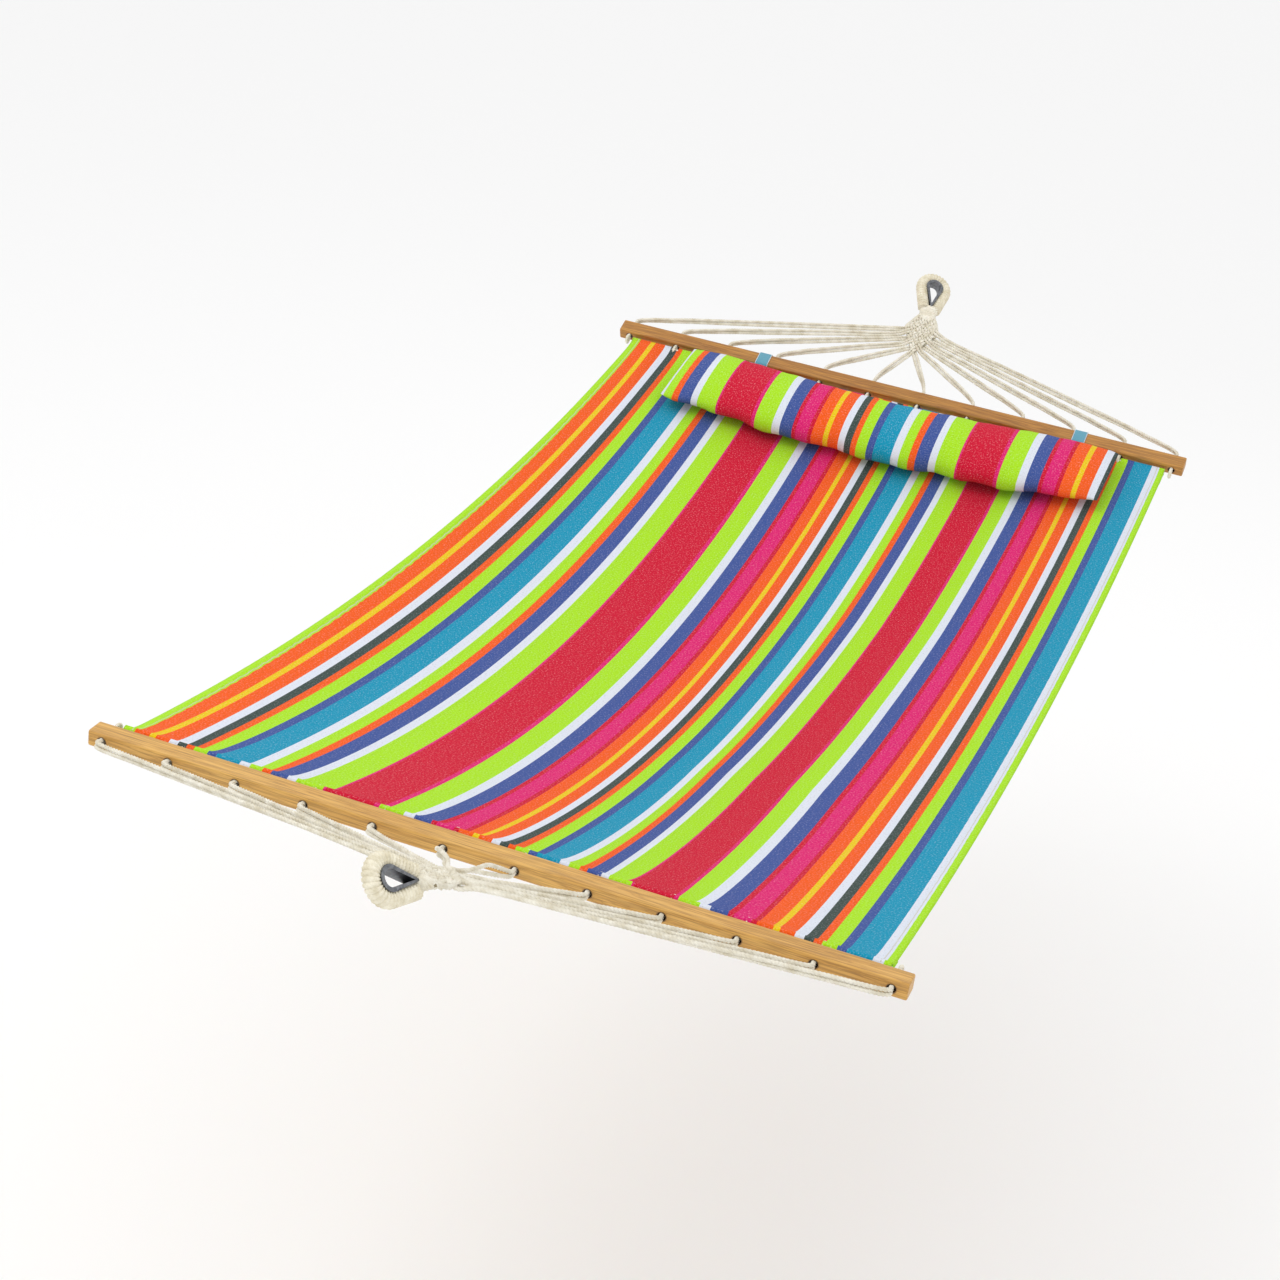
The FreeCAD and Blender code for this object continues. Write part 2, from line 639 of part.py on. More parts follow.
def pillow_loft(name, shrink):
    """A stuffed bolster through its oval stations."""
    body = doc.addObject("PartDesign::Body", name + "_body")
    sections = []
    for k, (share, deep, thick) in enumerate(PILLOW_STATIONS):
        middle, lean, major, minor = pillow_section(share, deep, thick, shrink)
        oval = body_sketch(body, f"{name}_station_{k}", "YZ_Plane", Vector(0, 0, middle.x))
        centre = Vector(middle.y, middle.z, 0)
        tip = centre + Vector(math.cos(lean), math.sin(lean), 0) * major
        side = centre + Vector(-math.sin(lean), math.cos(lean), 0) * minor
        oval.addGeometry(Part.Ellipse(tip, side, centre), False)
        sections.append(oval)
    loft = body.newObject("PartDesign::AdditiveLoft", name + "_loft")
    loft.Profile = sections[0]
    loft.Sections = sections[1:]
    body.Placement = ORIGIN
    doc.recompute()
    return body


def pillow():
    """The stuffing, and the striped case round it."""
    stuffing = pillow_loft("pillow_stuffing", size("pillow_cover"))
    outside = pillow_loft("pillow_outside", 0)
    case = doc.addObject("Part::Cut", "pillow_shell")
    case.Base = outside
    case.Tool = stuffing
    keep(stuffing, "pillow_fill")
    return keep(case, "pillow_case")


def box(name, frame, low, **sides):
    """A box whose sides are bound to the sheet, with its low corner at low."""
    block = doc.addObject("Part::Box", name)
    bind(block, **sides)
    block.Placement = frame * Placement(low, Rotation())
    return block


def pillow_strap(side):
    """A cloth strap: a loop round the head bar, and a tail back to the pillow's seam."""
    frame = ORIGIN * bar_frame("head")
    place = size("strap_" + side) - size("strap_width") / 2
    wrap = size("strap_play") + size("strap_thick")
    inner, half = size("hem_gap"), size("bar_height") / 2
    name = "strap_" + side
    outside = box(
        name + "_outside",
        frame,
        Vector(place, inner - wrap, -half - wrap),
        Length="strap_width",
        Width="bar_depth + 2 * (strap_play + strap_thick)",
        Height="bar_height + 2 * (strap_play + strap_thick)",
    )
    play = size("strap_play")
    inside = box(
        name + "_inside",
        frame,
        Vector(place, inner - play, -half - play),
        Length="strap_width",
        Width="bar_depth + 2 * strap_play",
        Height="bar_height + 2 * strap_play",
    )
    loop = doc.addObject("Part::Cut", name + "_loop")
    loop.Base = outside
    loop.Tool = inside
    root = bar_frame("head").multVec(Vector(0, inner - wrap + 0.5, size("strap_height")))
    level = Placement(Vector(place, root.y, root.z), Rotation())
    tail = box(
        name + "_tail",
        ORIGIN * level,
        Vector(0, -size("strap_tail"), 0),
        Length="strap_width",
        Width="strap_tail",
        Height="strap_thick",
    )
    strap = doc.addObject("Part::MultiFuse", name + "_whole")
    strap.Shapes = [loop, tail]
    return keep(strap, "pillow_strap_" + side)


# ---- the whole hammock --------------------------------------------------------------------------


def check_and_write():
    """Stops if anything failed, then writes each piece to parts/ under its own name."""
    doc.recompute()
    failed = [o.Name for o in doc.Objects if "Invalid" in o.State or "Error" in o.State]
    if failed:
        raise ValueError(f"these objects failed: {failed}")
    os.makedirs("parts", exist_ok=True)
    for piece in nodes:
        shape = piece.Shape
        if shape.isNull() or not shape.isValid() or not shape.Solids:
            raise ValueError(f"{piece.Label} isn't a sound solid")
        shape.exportStep(f"parts/{piece.Label}.step")
        box = shape.BoundBox
        print(
            f"{piece.Label:22s} {len(shape.Solids):2d} solids {shape.Volume / 1000:9.1f} cm3  "
            f"x {box.XMin:7.1f} {box.XMax:7.1f}  y {box.YMin:8.1f} {box.YMax:7.1f}  "
            f"z {box.ZMin:7.1f} {box.ZMax:6.1f}"
        )


bed_cloth()
for end in ("head", "foot"):
    hem_rope(end)
    spreader_bar(end)
    rope_bights(end)
    clew(end)
pillow()
for side in ("left", "right"):
    pillow_strap(side)
check_and_write()
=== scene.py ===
# %% [markdown]
# # A rope hammock
#
# A striped cloth bed hangs between two hardwood bars. Twelve doubled ropes leave each bar, fan in
# to a small woven mat and go on as a bundle that is bent into an eye and wound with rope. The CAD
# model gives every hard size and place. Here each part gets the surface that the real one has.

import json
import math

import bpy
import numpy as np
from mathutils import Matrix, Vector


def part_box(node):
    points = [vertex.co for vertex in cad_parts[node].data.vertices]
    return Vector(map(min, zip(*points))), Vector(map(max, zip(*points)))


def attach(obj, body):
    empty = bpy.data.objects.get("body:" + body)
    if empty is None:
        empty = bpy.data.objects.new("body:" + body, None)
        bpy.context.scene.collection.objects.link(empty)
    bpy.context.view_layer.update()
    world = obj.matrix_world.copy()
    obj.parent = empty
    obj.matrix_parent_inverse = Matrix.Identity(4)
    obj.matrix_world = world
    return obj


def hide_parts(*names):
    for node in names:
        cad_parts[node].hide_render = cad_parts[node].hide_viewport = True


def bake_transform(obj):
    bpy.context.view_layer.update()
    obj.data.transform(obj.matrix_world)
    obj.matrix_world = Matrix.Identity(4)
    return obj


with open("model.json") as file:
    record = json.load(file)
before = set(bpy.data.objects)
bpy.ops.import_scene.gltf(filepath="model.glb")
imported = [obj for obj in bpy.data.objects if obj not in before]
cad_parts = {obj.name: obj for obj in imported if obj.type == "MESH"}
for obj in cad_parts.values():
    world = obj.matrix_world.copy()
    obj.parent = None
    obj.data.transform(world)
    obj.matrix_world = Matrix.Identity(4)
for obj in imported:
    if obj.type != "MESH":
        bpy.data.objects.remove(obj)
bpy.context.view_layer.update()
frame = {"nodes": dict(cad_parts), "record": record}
record = frame["record"]
joints = {j["name"]: j for j in record["behaviour"]["joints"]}

# %% [markdown]
# ## Where things are
#
# Every place comes from the CAD model: the hinge points say where the hem ropes and the bars'
# outer mouths are, and the boxes of the pieces give widths. A clew is the fan, mat and eye
# together. Each end gets a small set of directions: out along the bar's holes, out along the fan,
# and the two normals that go with them.

# %% Places and directions
MM = 0.001
hem_head = np.array(joints["head_bar_roll"]["pos_m"])
hem_foot = np.array(joints["foot_bar_roll"]["pos_m"])
middle_x = hem_head[0]
X_AXIS = np.array([1.0, 0, 0])


def clew_plane(end):
    """The fan's direction, from the swing axis to the middle of the woven mat."""
    low, high = (np.array(c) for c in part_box(end + "_clew_weave"))
    swing = np.array(joints[end + "_clew_swing"]["pos_m"])
    d = (low + high) / 2 - swing
    d[0] = 0
    return d / np.linalg.norm(d)


ends = {}
for end, side in (("head", 1), ("foot", -1)):
    hem = np.array(joints[end + "_bar_roll"]["pos_m"])
    swing = np.array(joints[end + "_clew_swing"]["pos_m"])
    out = (swing - hem) / np.linalg.norm(swing - hem)
    fan = clew_plane(end)
    across = X_AXIS * side
    ends[end] = dict(
        side=side,
        hem=hem,
        swing=swing,
        out=out,
        up=np.cross(across, out),
        fan=fan,
        fan_up=np.cross(across, fan),
        across=across,
    )
    print(end, "bar", np.round(out, 3), "fan", np.round(fan, 3))

HOLES = 12
bar_low, bar_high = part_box("foot_spreader_bar")
bar_length = bar_high[0] - bar_low[0]
hole_pitch = 106.7 * MM
hole_x = [(i - (HOLES - 1) / 2) * hole_pitch for i in range(HOLES)]
rope_width = 6 * MM
leg_height = 3.2 * MM
# Distance from a bar's hem rope to the axis that its clew swings about.
hem_reach = np.linalg.norm(ends["head"]["swing"] - ends["head"]["hem"])
print("hem rope to swing axis", round(hem_reach, 4), "bar", round(bar_length, 4))

# %% [markdown]
# ## Camera and light
#
# The camera comes first, because each piece is then judged from the view that matters most. It
# looks along the hammock from beyond the foot bar, down and a little to the left, through a 71 mm
# lens. The light is a white sky with one larger lamp and three weak fills, over a pale floor.

# %% Camera
eye = np.array([1.040, -3.828, 1.802]) + hem_head - np.array([0, 1.0255, 0])
forward = np.array([-0.2663, 0.8579, -0.4395])
right = np.array([0.9277, 0.3518, 0.1245])
camera_up = np.cross(right, forward)
right = np.cross(forward, camera_up)
camera = bpy.data.objects.new("camera", bpy.data.cameras.new("camera"))
bpy.context.scene.collection.objects.link(camera)
axes = np.array([right, camera_up, -forward]).T
axes /= np.linalg.norm(axes, axis=0)
camera.matrix_world = Matrix.Translation(Vector(eye)) @ Matrix(axes.tolist()).to_4x4()
camera.data.lens = 71.2
camera.data.sensor_width = 36
camera.data.clip_end = 50
bpy.context.scene.camera = camera
print("camera at", np.round(eye, 3))


# %% [markdown]
# ### The floor and lights
#
# A pale floor lies well below, so the hammock seems to hang in white space. The sky gives most of
# the light; the lamps only add soft shade and a little shine.

# %% Floor and lights
def area_light(name, place, target, size, power):
    lamp = bpy.data.objects.new(name, bpy.data.lights.new(name, "AREA"))
    lamp.data.shape = "DISK"
    lamp.data.size = size
    lamp.data.energy = power
    lamp.location = place
    way = Vector(target) - Vector(place)
    lamp.rotation_euler = way.to_track_quat("-Z", "Y").to_euler()
    bpy.context.scene.collection.objects.link(lamp)
    return lamp


centre = (middle_x, -1.3, -0.25)
area_light("key_light", (-1.8, -2.4, 3.0), centre, 2.2, 30)
area_light("fill_right", (3.0, -2.6, 1.6), centre, 2.5, 8)
area_light("fill_back", (0.5, 2.6, 2.0), centre, 2.5, 7)
area_light("fill_foot", (0.3, -5.2, 0.6), centre, 2.0, 7)
world = bpy.data.worlds.new("studio")
world.use_nodes = True
world.node_tree.nodes["Background"].inputs[0].default_value = (1, 1, 1, 1)
world.node_tree.nodes["Background"].inputs[1].default_value = 0.95
bpy.context.scene.world = world
bpy.context.scene.view_settings.view_transform = "Standard"
bpy.ops.mesh.primitive_plane_add(size=40, location=(0, 0, -1.5))
floor = bpy.context.object
floor.name = "floor"
print("floor and four lamps")

# %% [markdown]
# ## Materials
#
# A material here is a short chain: a pattern, a colour from it, and a bump. One helper makes the
# chain's nodes and links so that each finish below reads as a recipe. Colours are given as the
# eye reads them, from 0 to 255, and turned to the linear values that Blender mixes light in.


# %% Helpers for colours and nodes
def tint(r, g, b):
    def linear(v):
        v /= 255
        return v / 12.92 if v <= 0.04045 else ((v + 0.055) / 1.055) ** 2.4

    return (linear(r), linear(g), linear(b), 1)


def node(tree, kind, values={}, **settings):
    """One shader node. Each value is a number, a colour, or the output socket that feeds it."""
    n = tree.nodes.new("ShaderNode" + kind)
    for key, value in settings.items():
        setattr(n, key, value)
    for key, value in values.items():
        if isinstance(value, bpy.types.NodeSocket):
            tree.links.new(value, n.inputs[key])
        else:
            n.inputs[key].default_value = value
    return n


def math_node(tree, operation, a, b=0.0):
    return node(tree, "Math", {0: a, 1: b}, operation=operation).outputs[0]


def blend_colour(tree, share, a, b, mode="MIX"):
    mix = node(tree, "Mix", {0: share, 6: a, 7: b}, data_type="RGBA", blend_type=mode)
    return mix.outputs[2]


def new_material(name, roughness=0.8):
    material = bpy.data.materials.new(name)
    material.use_nodes = True
    tree = material.node_tree
    surface = tree.nodes["Principled BSDF"]
    surface.inputs["Roughness"].default_value = roughness
    return material, tree, surface


def feed(tree, surface, colour=None, height=None, depth=0.0005, strength=1.0):
    """Links a colour and a height pattern to a surface. depth is how deep the pattern is."""
    if colour is not None:
        tree.links.new(colour, surface.inputs["Base Color"])
    if height is not None:
        bump = node(tree, "Bump", {"Height": height, "Distance": depth, "Strength": strength})
        tree.links.new(bump.outputs[0], surface.inputs["Normal"])


def ramp(tree, value, stops, interpolation="LINEAR"):
    """A colour ramp; stops are (place, colour) pairs."""
    n = node(tree, "ValToRGB", {0: value})
    n.color_ramp.interpolation = interpolation
    elements = n.color_ramp.elements
    while len(elements) < len(stops):
        elements.new(1.0)
    for element, (place, colour) in zip(elements, stops):
        element.position = place
        element.color = colour
    return n.outputs[0]


def put_on(obj, material):
    obj.data.materials.clear()
    obj.data.materials.append(material)


floor_material, tree, surface = new_material("pale_floor", 0.9)
surface.inputs["Base Color"].default_value = (0.97, 0.97, 0.97, 1)
put_on(floor, floor_material)

# %% [markdown]
# ### The stripes
#
# Bed and pillow are cut from one cloth, whose stripes repeat every half metre. One node group
# holds the repeat as a colour ramp with hard steps, so both pieces match. It takes the distance
# across the cloth in millimetres and gives the yarn's colour there, with the fine speckle of a
# cloth woven from coloured and white yarns.

# %% The stripe group
LIME, ORANGE, YELLOW = tint(174, 232, 30), tint(248, 94, 18), tint(240, 204, 10)
WHITE, CHARCOAL, BLUE = tint(226, 232, 244), tint(62, 78, 74), tint(64, 88, 158)
TEAL, CRIMSON, MAGENTA = tint(12, 152, 188), tint(212, 12, 52), tint(226, 30, 116)
STRIPES = [
    (ORANGE, 23), (YELLOW, 9), (ORANGE, 23.5), (WHITE, 13.5), (CHARCOAL, 12.5), (ORANGE, 13.5),
    (LIME, 21), (BLUE, 14), (TEAL, 38), (WHITE, 15.5), (LIME, 20.5), (ORANGE, 13), (BLUE, 26),
    (WHITE, 14.5), (LIME, 40.5), (MAGENTA, 5.5), (CRIMSON, 75), (MAGENTA, 7), (LIME, 39.5),
    (WHITE, 15.5), (BLUE, 26), (CRIMSON, 8), (MAGENTA, 25), (CRIMSON, 9),
]  # fmt: skip
REPEAT = sum(width for _, width in STRIPES)
EDGE_STRIPE = 20
print("stripes repeat every", REPEAT, "mm")


def stripe_group():
    tree = bpy.data.node_groups.new("striped_yarn", "ShaderNodeTree")
    tree.interface.new_socket("Across", in_out="INPUT", socket_type="NodeSocketFloat")
    tree.interface.new_socket("Along", in_out="INPUT", socket_type="NodeSocketFloat")
    tree.interface.new_socket("Colour", in_out="OUTPUT", socket_type="NodeSocketColor")
    tree.interface.new_socket("Height", in_out="OUTPUT", socket_type="NodeSocketFloat")
    given = tree.nodes.new("NodeGroupInput")
    result = tree.nodes.new("NodeGroupOutput")
    across, along = given.outputs["Across"], given.outputs["Along"]
    shifted = math_node(tree, "SUBTRACT", across, EDGE_STRIPE)
    place = math_node(tree, "FRACT", math_node(tree, "DIVIDE", shifted, REPEAT))
    edges = np.cumsum([0] + [width for _, width in STRIPES]) / REPEAT
    stops = [(float(edges[k]), colour) for k, (colour, _) in enumerate(STRIPES)]
    yarn = ramp(tree, place, stops, "CONSTANT")
    first = math_node(tree, "LESS_THAN", across, EDGE_STRIPE)
    yarn = blend_colour(tree, first, yarn, LIME)
    where = node(tree, "CombineXYZ", {0: across, 1: along, 2: 0.0}).outputs[0]
    speckle = node(tree, "TexNoise", {"Vector": where, "Scale": 0.34, "Detail": 4.0})
    pale = node(
        tree, "MapRange", {0: speckle.outputs[0], 1: 0.54, 2: 0.72, 3: 0.0, 4: 0.26}
    ).outputs[0]
    yarn = blend_colour(tree, pale, yarn, tint(236, 232, 236))
    deep = node(
        tree, "MapRange", {0: speckle.outputs[0], 1: 0.28, 2: 0.46, 3: 0.32, 4: 0.0}
    ).outputs[0]
    yarn = blend_colour(tree, deep, yarn, (0.25, 0.2, 0.2, 1), "MULTIPLY")
    warp = math_node(tree, "SINE", math_node(tree, "MULTIPLY", across, 2 * math.pi / 1.1))
    weft = math_node(tree, "SINE", math_node(tree, "MULTIPLY", along, 2 * math.pi / 1.1))
    threads = math_node(tree, "MULTIPLY", warp, weft)
    tree.links.new(yarn, result.inputs["Colour"])
    tree.links.new(threads, result.inputs["Height"])
    return tree


striped_yarn = stripe_group()


# %% [markdown]
# ### The cloth as a finish
#
# The yarn colours go onto a cloth surface, with the weave as a fine bump. Lines of stitches sit in
# shallow grooves along the sewn seams.

# %% The cloth's finish
def striped_cloth(name, seams, side_seams):
    """Cloth whose UV map is in metres: across the stripes, then along them.
    seams are distances along the cloth, in millimetres, where a line of stitches runs;
    side_seams are the same across it."""
    material, tree, surface = new_material(name, 0.85)
    uv = node(tree, "UVMap", uv_map="flat")
    parts = node(tree, "SeparateXYZ", {0: uv.outputs[0]})
    across = math_node(tree, "MULTIPLY", parts.outputs[0], 1000.0)
    along = math_node(tree, "MULTIPLY", parts.outputs[1], 1000.0)
    yarn = node(tree, "Group", node_tree=striped_yarn)
    tree.links.new(across, yarn.inputs["Across"])
    tree.links.new(along, yarn.inputs["Along"])
    colour = yarn.outputs["Colour"]
    height = yarn.outputs["Height"]
    lines = [(along, across, seam) for seam in seams]
    lines += [(across, along, seam) for seam in side_seams]
    for from_line, on_line, seam in lines:
        away = math_node(tree, "ABSOLUTE", math_node(tree, "SUBTRACT", from_line, seam))
        thread = math_node(tree, "LESS_THAN", away, 0.9)
        step = math_node(tree, "FRACT", math_node(tree, "DIVIDE", on_line, 4.5))
        dashes = math_node(tree, "GREATER_THAN", step, 0.3)
        stitch = math_node(tree, "MULTIPLY", thread, dashes)
        colour = blend_colour(tree, stitch, colour, tint(205, 200, 190))
        groove = math_node(tree, "LESS_THAN", away, 1.6)
        height = math_node(tree, "SUBTRACT", height, math_node(tree, "MULTIPLY", groove, 3.0))
    feed(tree, surface, colour, height, 0.0003, 0.6)
    surface.inputs["Sheen Weight"].default_value = 0.03
    surface.inputs["Sheen Roughness"].default_value = 0.5
    surface.inputs["Specular IOR Level"].default_value = 0.15
    return material


# %% [markdown]
# ### Rope
#
# The ropes are cotton-white, three strands laid together. Their strands are real shape, made
# below, so the finish only adds what is smaller: yarns in each strand, and a little grey and
# warmth in a soft random mottle. Its pattern sits in each object's own space.


# %% The rope's finish
def rope_finish(name, base, darker_tone):
    material, tree, surface = new_material(name, 0.9)
    place = node(tree, "TexCoord").outputs["Object"]
    mottle = node(tree, "TexNoise", {"Vector": place, "Scale": 60.0, "Detail": 3.0}).outputs[0]
    fine = node(tree, "TexNoise", {"Vector": place, "Scale": 900.0, "Detail": 2.0}).outputs[0]
    colour = ramp(tree, mottle, [(0.3, darker_tone), (0.65, base)])
    colour = blend_colour(tree, 0.25, colour, ramp(tree, fine, [(0.3, darker_tone), (0.6, base)]))
    feed(tree, surface, colour, fine, 0.0006, 0.6)
    surface.inputs["Sheen Weight"].default_value = 0.1
    surface.inputs["Specular IOR Level"].default_value = 0.2
    return material


rope_white = rope_finish("cotton_rope", tint(250, 246, 233), tint(216, 206, 180))
# A darker copy of the rope for the mat's core: painted shade between the crossing ropes.
shaded_rope = rope_finish("shaded_rope", tint(150, 138, 108), tint(120, 106, 78))
serving_white = rope_finish("served_rope", tint(242, 236, 217), tint(204, 193, 162))

# %% [markdown]
# ### Wood
#
# The bars are oiled hardwood. Growth rings show along the bar as long lines of grain that wander a
# little; short darker pores follow them, and the tone shifts slowly from end to end. The head bar
# is a browner piece than the foot bar. Each hole is painted dark brown in its bore and round its
# mouth, which is painted shade.


# %% The wood's finish
def wood_finish(end, name, light, middle, dark):
    material, tree, surface = new_material(name, 0.45)
    place = node(tree, "TexCoord").outputs["Object"]
    long_way = node(tree, "Mapping", {"Vector": place, "Scale": (1.2, 26.0, 26.0)}).outputs[0]
    wander = node(
        tree, "TexNoise", {"Vector": long_way, "Scale": 2.2, "Detail": 5.0, "Distortion": 1.2}
    ).outputs[0]
    rings = math_node(tree, "SINE", math_node(tree, "MULTIPLY", wander, 34.0))
    rings = node(tree, "MapRange", {0: rings, 1: -1.0, 2: 1.0}).outputs[0]
    pore_way = node(tree, "Mapping", {"Vector": place, "Scale": (12.0, 420.0, 420.0)}).outputs[0]
    pores = node(tree, "TexNoise", {"Vector": pore_way, "Scale": 1.6, "Detail": 4.0}).outputs[0]
    tone = node(tree, "TexNoise", {"Vector": place, "Scale": 4.0, "Detail": 2.0}).outputs[0]
    colour = ramp(tree, rings, [(0.0, middle), (0.12, dark), (0.3, middle), (1.0, light)])
    colour = blend_colour(tree, 0.3, colour, middle)
    pore_shade = ramp(tree, pores, [(0.35, tint(150, 128, 104)), (0.55, tint(250, 246, 238))])
    colour = blend_colour(tree, 0.8, colour, pore_shade, "MULTIPLY")
    slow_tone = ramp(tree, tone, [(0.3, middle), (0.7, light)])
    colour = blend_colour(tree, 0.35, colour, slow_tone)
    # Painted shade: the wood is painted dark brown in each hole's bore and round its mouth, out to
    # 8.6 mm from the hole's middle.
    e = ends[end]
    parts = node(tree, "SeparateXYZ", {0: place})
    along = math_node(tree, "SUBTRACT", parts.outputs[0], middle_x + hole_x[0] - hole_pitch / 2)
    along = math_node(tree, "FRACT", math_node(tree, "DIVIDE", along, hole_pitch))
    along = math_node(tree, "MULTIPLY", math_node(tree, "SUBTRACT", along, 0.5), hole_pitch)
    high = node(tree, "VectorMath", {0: place, 1: tuple(e["up"])}, operation="DOT_PRODUCT")
    high = math_node(tree, "SUBTRACT", high.outputs["Value"], float(e["hem"] @ e["up"]))
    from_hole = node(tree, "CombineXYZ", {0: along, 1: high})
    from_hole = node(tree, "VectorMath", {0: from_hole.outputs[0]}, operation="LENGTH")
    from_hole = from_hole.outputs["Value"]
    hole_shade = node(tree, "MapRange", {0: from_hole, 1: 0.0066, 2: 0.0086, 3: 0.85, 4: 0.0}).outputs[0]
    colour = blend_colour(tree, hole_shade, colour, tint(70, 42, 20))
    feed(tree, surface, colour, pores, 0.0004, 0.5)
    surface.inputs["Coat Weight"].default_value = 0.15
    surface.inputs["Coat Roughness"].default_value = 0.35
    return material


foot_wood = wood_finish(
    "foot", "golden_oak", tint(230, 184, 100), tint(204, 152, 68), tint(138, 90, 32)
)
head_wood = wood_finish(
    "head", "brown_oak", tint(206, 150, 66), tint(174, 116, 42), tint(100, 62, 20)
)
put_on(frame["nodes"]["foot_spreader_bar"], foot_wood)
put_on(frame["nodes"]["head_spreader_bar"], head_wood)
print("wood finishes", foot_wood.name, head_wood.name)

# %% [markdown]
# ### Zinc
#
# Each eye is lined with a galvanised thimble. Zinc is a dull grey metal with faint spangles.

# %% The thimble's finish
zinc, tree, surface = new_material("galvanised_thimble", 0.4)
place = node(tree, "TexCoord").outputs["Object"]
spangle = node(tree, "TexVoronoi", {"Vector": place, "Scale": 260.0}).outputs["Color"]
grey = node(tree, "RGBToBW", {0: spangle}).outputs[0]
colour = ramp(tree, grey, [(0.0, tint(92, 94, 98)), (1.0, tint(142, 144, 148))])
rough = node(tree, "MapRange", {0: grey, 3: 0.3, 4: 0.5}).outputs[0]
tree.links.new(rough, surface.inputs["Roughness"])
smudge = node(tree, "TexNoise", {"Vector": place, "Scale": 140.0, "Detail": 3.0}).outputs[0]
feed(tree, surface, colour, smudge, 0.0003, 0.4)
surface.inputs["Metallic"].default_value = 1.0
for end in ends:
    put_on(frame["nodes"][end + "_thimble"], zinc)
print("metal finish", zinc.name)


# %% [markdown]
# ## Rope as a shape
#
# A laid rope is three round strands twisted together, so its section has three lobes that turn as
# they go along. The helper takes the rope's middle line, carries a section frame along it without
# letting it spin, and turns the lobes at a steady pitch. One mesh tube per rope keeps it light.


# %% Smooth lines through points
def smooth_line(points, step):
    """Points at an even step along a curve that passes softly through the given points."""
    p = np.array(points, float)
    ghost = np.vstack([2 * p[0] - p[1], p, 2 * p[-1] - p[-2]])
    fine = []
    for k in range(len(p) - 1):
        a, b, c, d = ghost[k : k + 4]
        ta = np.linalg.norm(b - a) ** 0.5
        tb = ta + np.linalg.norm(c - b) ** 0.5
        tc = tb + np.linalg.norm(d - c) ** 0.5
        for t in np.linspace(ta, tb, 24, endpoint=False):
            ab = a + (b - a) * t / ta
            bc = b + (c - b) * (t - ta) / (tb - ta)
            cd = c + (d - c) * (t - tb) / (tc - tb)
            abc = ab + (bc - ab) * t / tb
            bcd = bc + (cd - bc) * (t - ta) / (tc - ta)
            fine.append(abc + (bcd - abc) * (t - ta) / (tb - ta))
    fine.append(p[-1])
    fine = np.array(fine)
    run = np.concatenate([[0], np.cumsum(np.linalg.norm(np.diff(fine, axis=0), axis=1))])
    count = max(2, int(run[-1] / step))
    at = np.linspace(0, run[-1], count + 1)
    return np.column_stack([np.interp(at, run, fine[:, k]) for k in range(3)]), run[-1]


def carried_frames(line, first_normal):
    """Two crossed normals at each point, carried along without spinning."""
    ways = np.gradient(line, axis=0)
    ways /= np.linalg.norm(ways, axis=1)[:, None]
    normals = []
    n = np.array(first_normal, float)
    for way in ways:
        n = n - way * (n @ way)
        n /= np.linalg.norm(n)
        normals.append(n)
    normals = np.array(normals)
    return normals, np.cross(ways, normals)


def tube_mesh(name, rings):
    """A mesh from rings of points, with flat caps."""
    count, sides, _ = rings.shape
    k, s = np.meshgrid(np.arange(count - 1), np.arange(sides), indexing="ij")
    after, beside = k + 1, (s + 1) % sides
    corners = np.stack(
        [k * sides + s, k * sides + beside, after * sides + beside, after * sides + s], -1
    )
    faces = corners.reshape(-1, 4).tolist()
    faces.append(list(range(sides))[::-1])
    faces.append([(count - 1) * sides + j for j in range(sides)])
    mesh = bpy.data.meshes.new(name)
    mesh.from_pydata(rings.reshape(-1, 3).tolist(), [], faces)
    mesh.update()
    mesh.shade_smooth()
    obj = bpy.data.objects.new(name, mesh)
    bpy.context.scene.collection.objects.link(obj)
    return obj


def rope_rings(line, normals, seconds, radius, sides, lobes, depth, pitch):
    """Lobed sections that turn once every pitch along the line."""
    run = np.concatenate([[0], np.cumsum(np.linalg.norm(np.diff(line, axis=0), axis=1))])
    turn = 2 * math.pi * run / pitch
    angle = np.linspace(0, 2 * math.pi, sides, endpoint=False)
    size = radius * (1 - depth * (1 - np.abs(np.cos(lobes * angle / 2)) ** 0.8))
    spin = angle[None, :] + turn[:, None]
    return (
        line[:, None, :]
        + normals[:, None, :] * (size * np.cos(spin))[:, :, None]
        + seconds[:, None, :] * (size * np.sin(spin))[:, :, None]
    )


def laid_rope(name, points, width, first_normal, step=2.2 * MM):
    line, length = smooth_line(points, step)
    normals, seconds = carried_frames(line, first_normal)
    rings = rope_rings(line, normals, seconds, width / 2 * 1.16, 12, 3, 0.38, 17 * MM)
    obj = tube_mesh(name, rings)
    put_on(obj, rope_white)
    return obj, line, length


# %% [markdown]
# ## Nettles
#
# Each of the twelve doubled ropes, or nettles, is one rope. It starts at the neck, comes down
# through the woven mat, runs straight to the bar, goes through its hole, round the hem rope
# inside the cloth and back the same way. In the mat the ropes from the left cross the ropes from
# the right, over one and under the next. Legs lie side by side in the mat and one above the other
# in the hole, so each pair makes a quarter turn on its way.

# %% The mat's crossing grid
MAT_POINT, MAT_MIDDLE, MAT_END = 90 * MM, 155 * MM, 198 * MM
MAT_HALF = 37.5 * MM
LEG_SPREAD = 3.1 * MM
CROSSINGS = 6
LEG_SLIDE = 0.043
OVER_AND_UNDER = 4.4 * MM
INNER_SHARE = 0.62


def mat_place(q, p):
    """A point of the mat's slanted grid: p steps to the right and q steps to the left."""
    return MAT_HALF * (p - q), MAT_POINT + (MAT_MIDDLE - MAT_POINT) * (p + q)


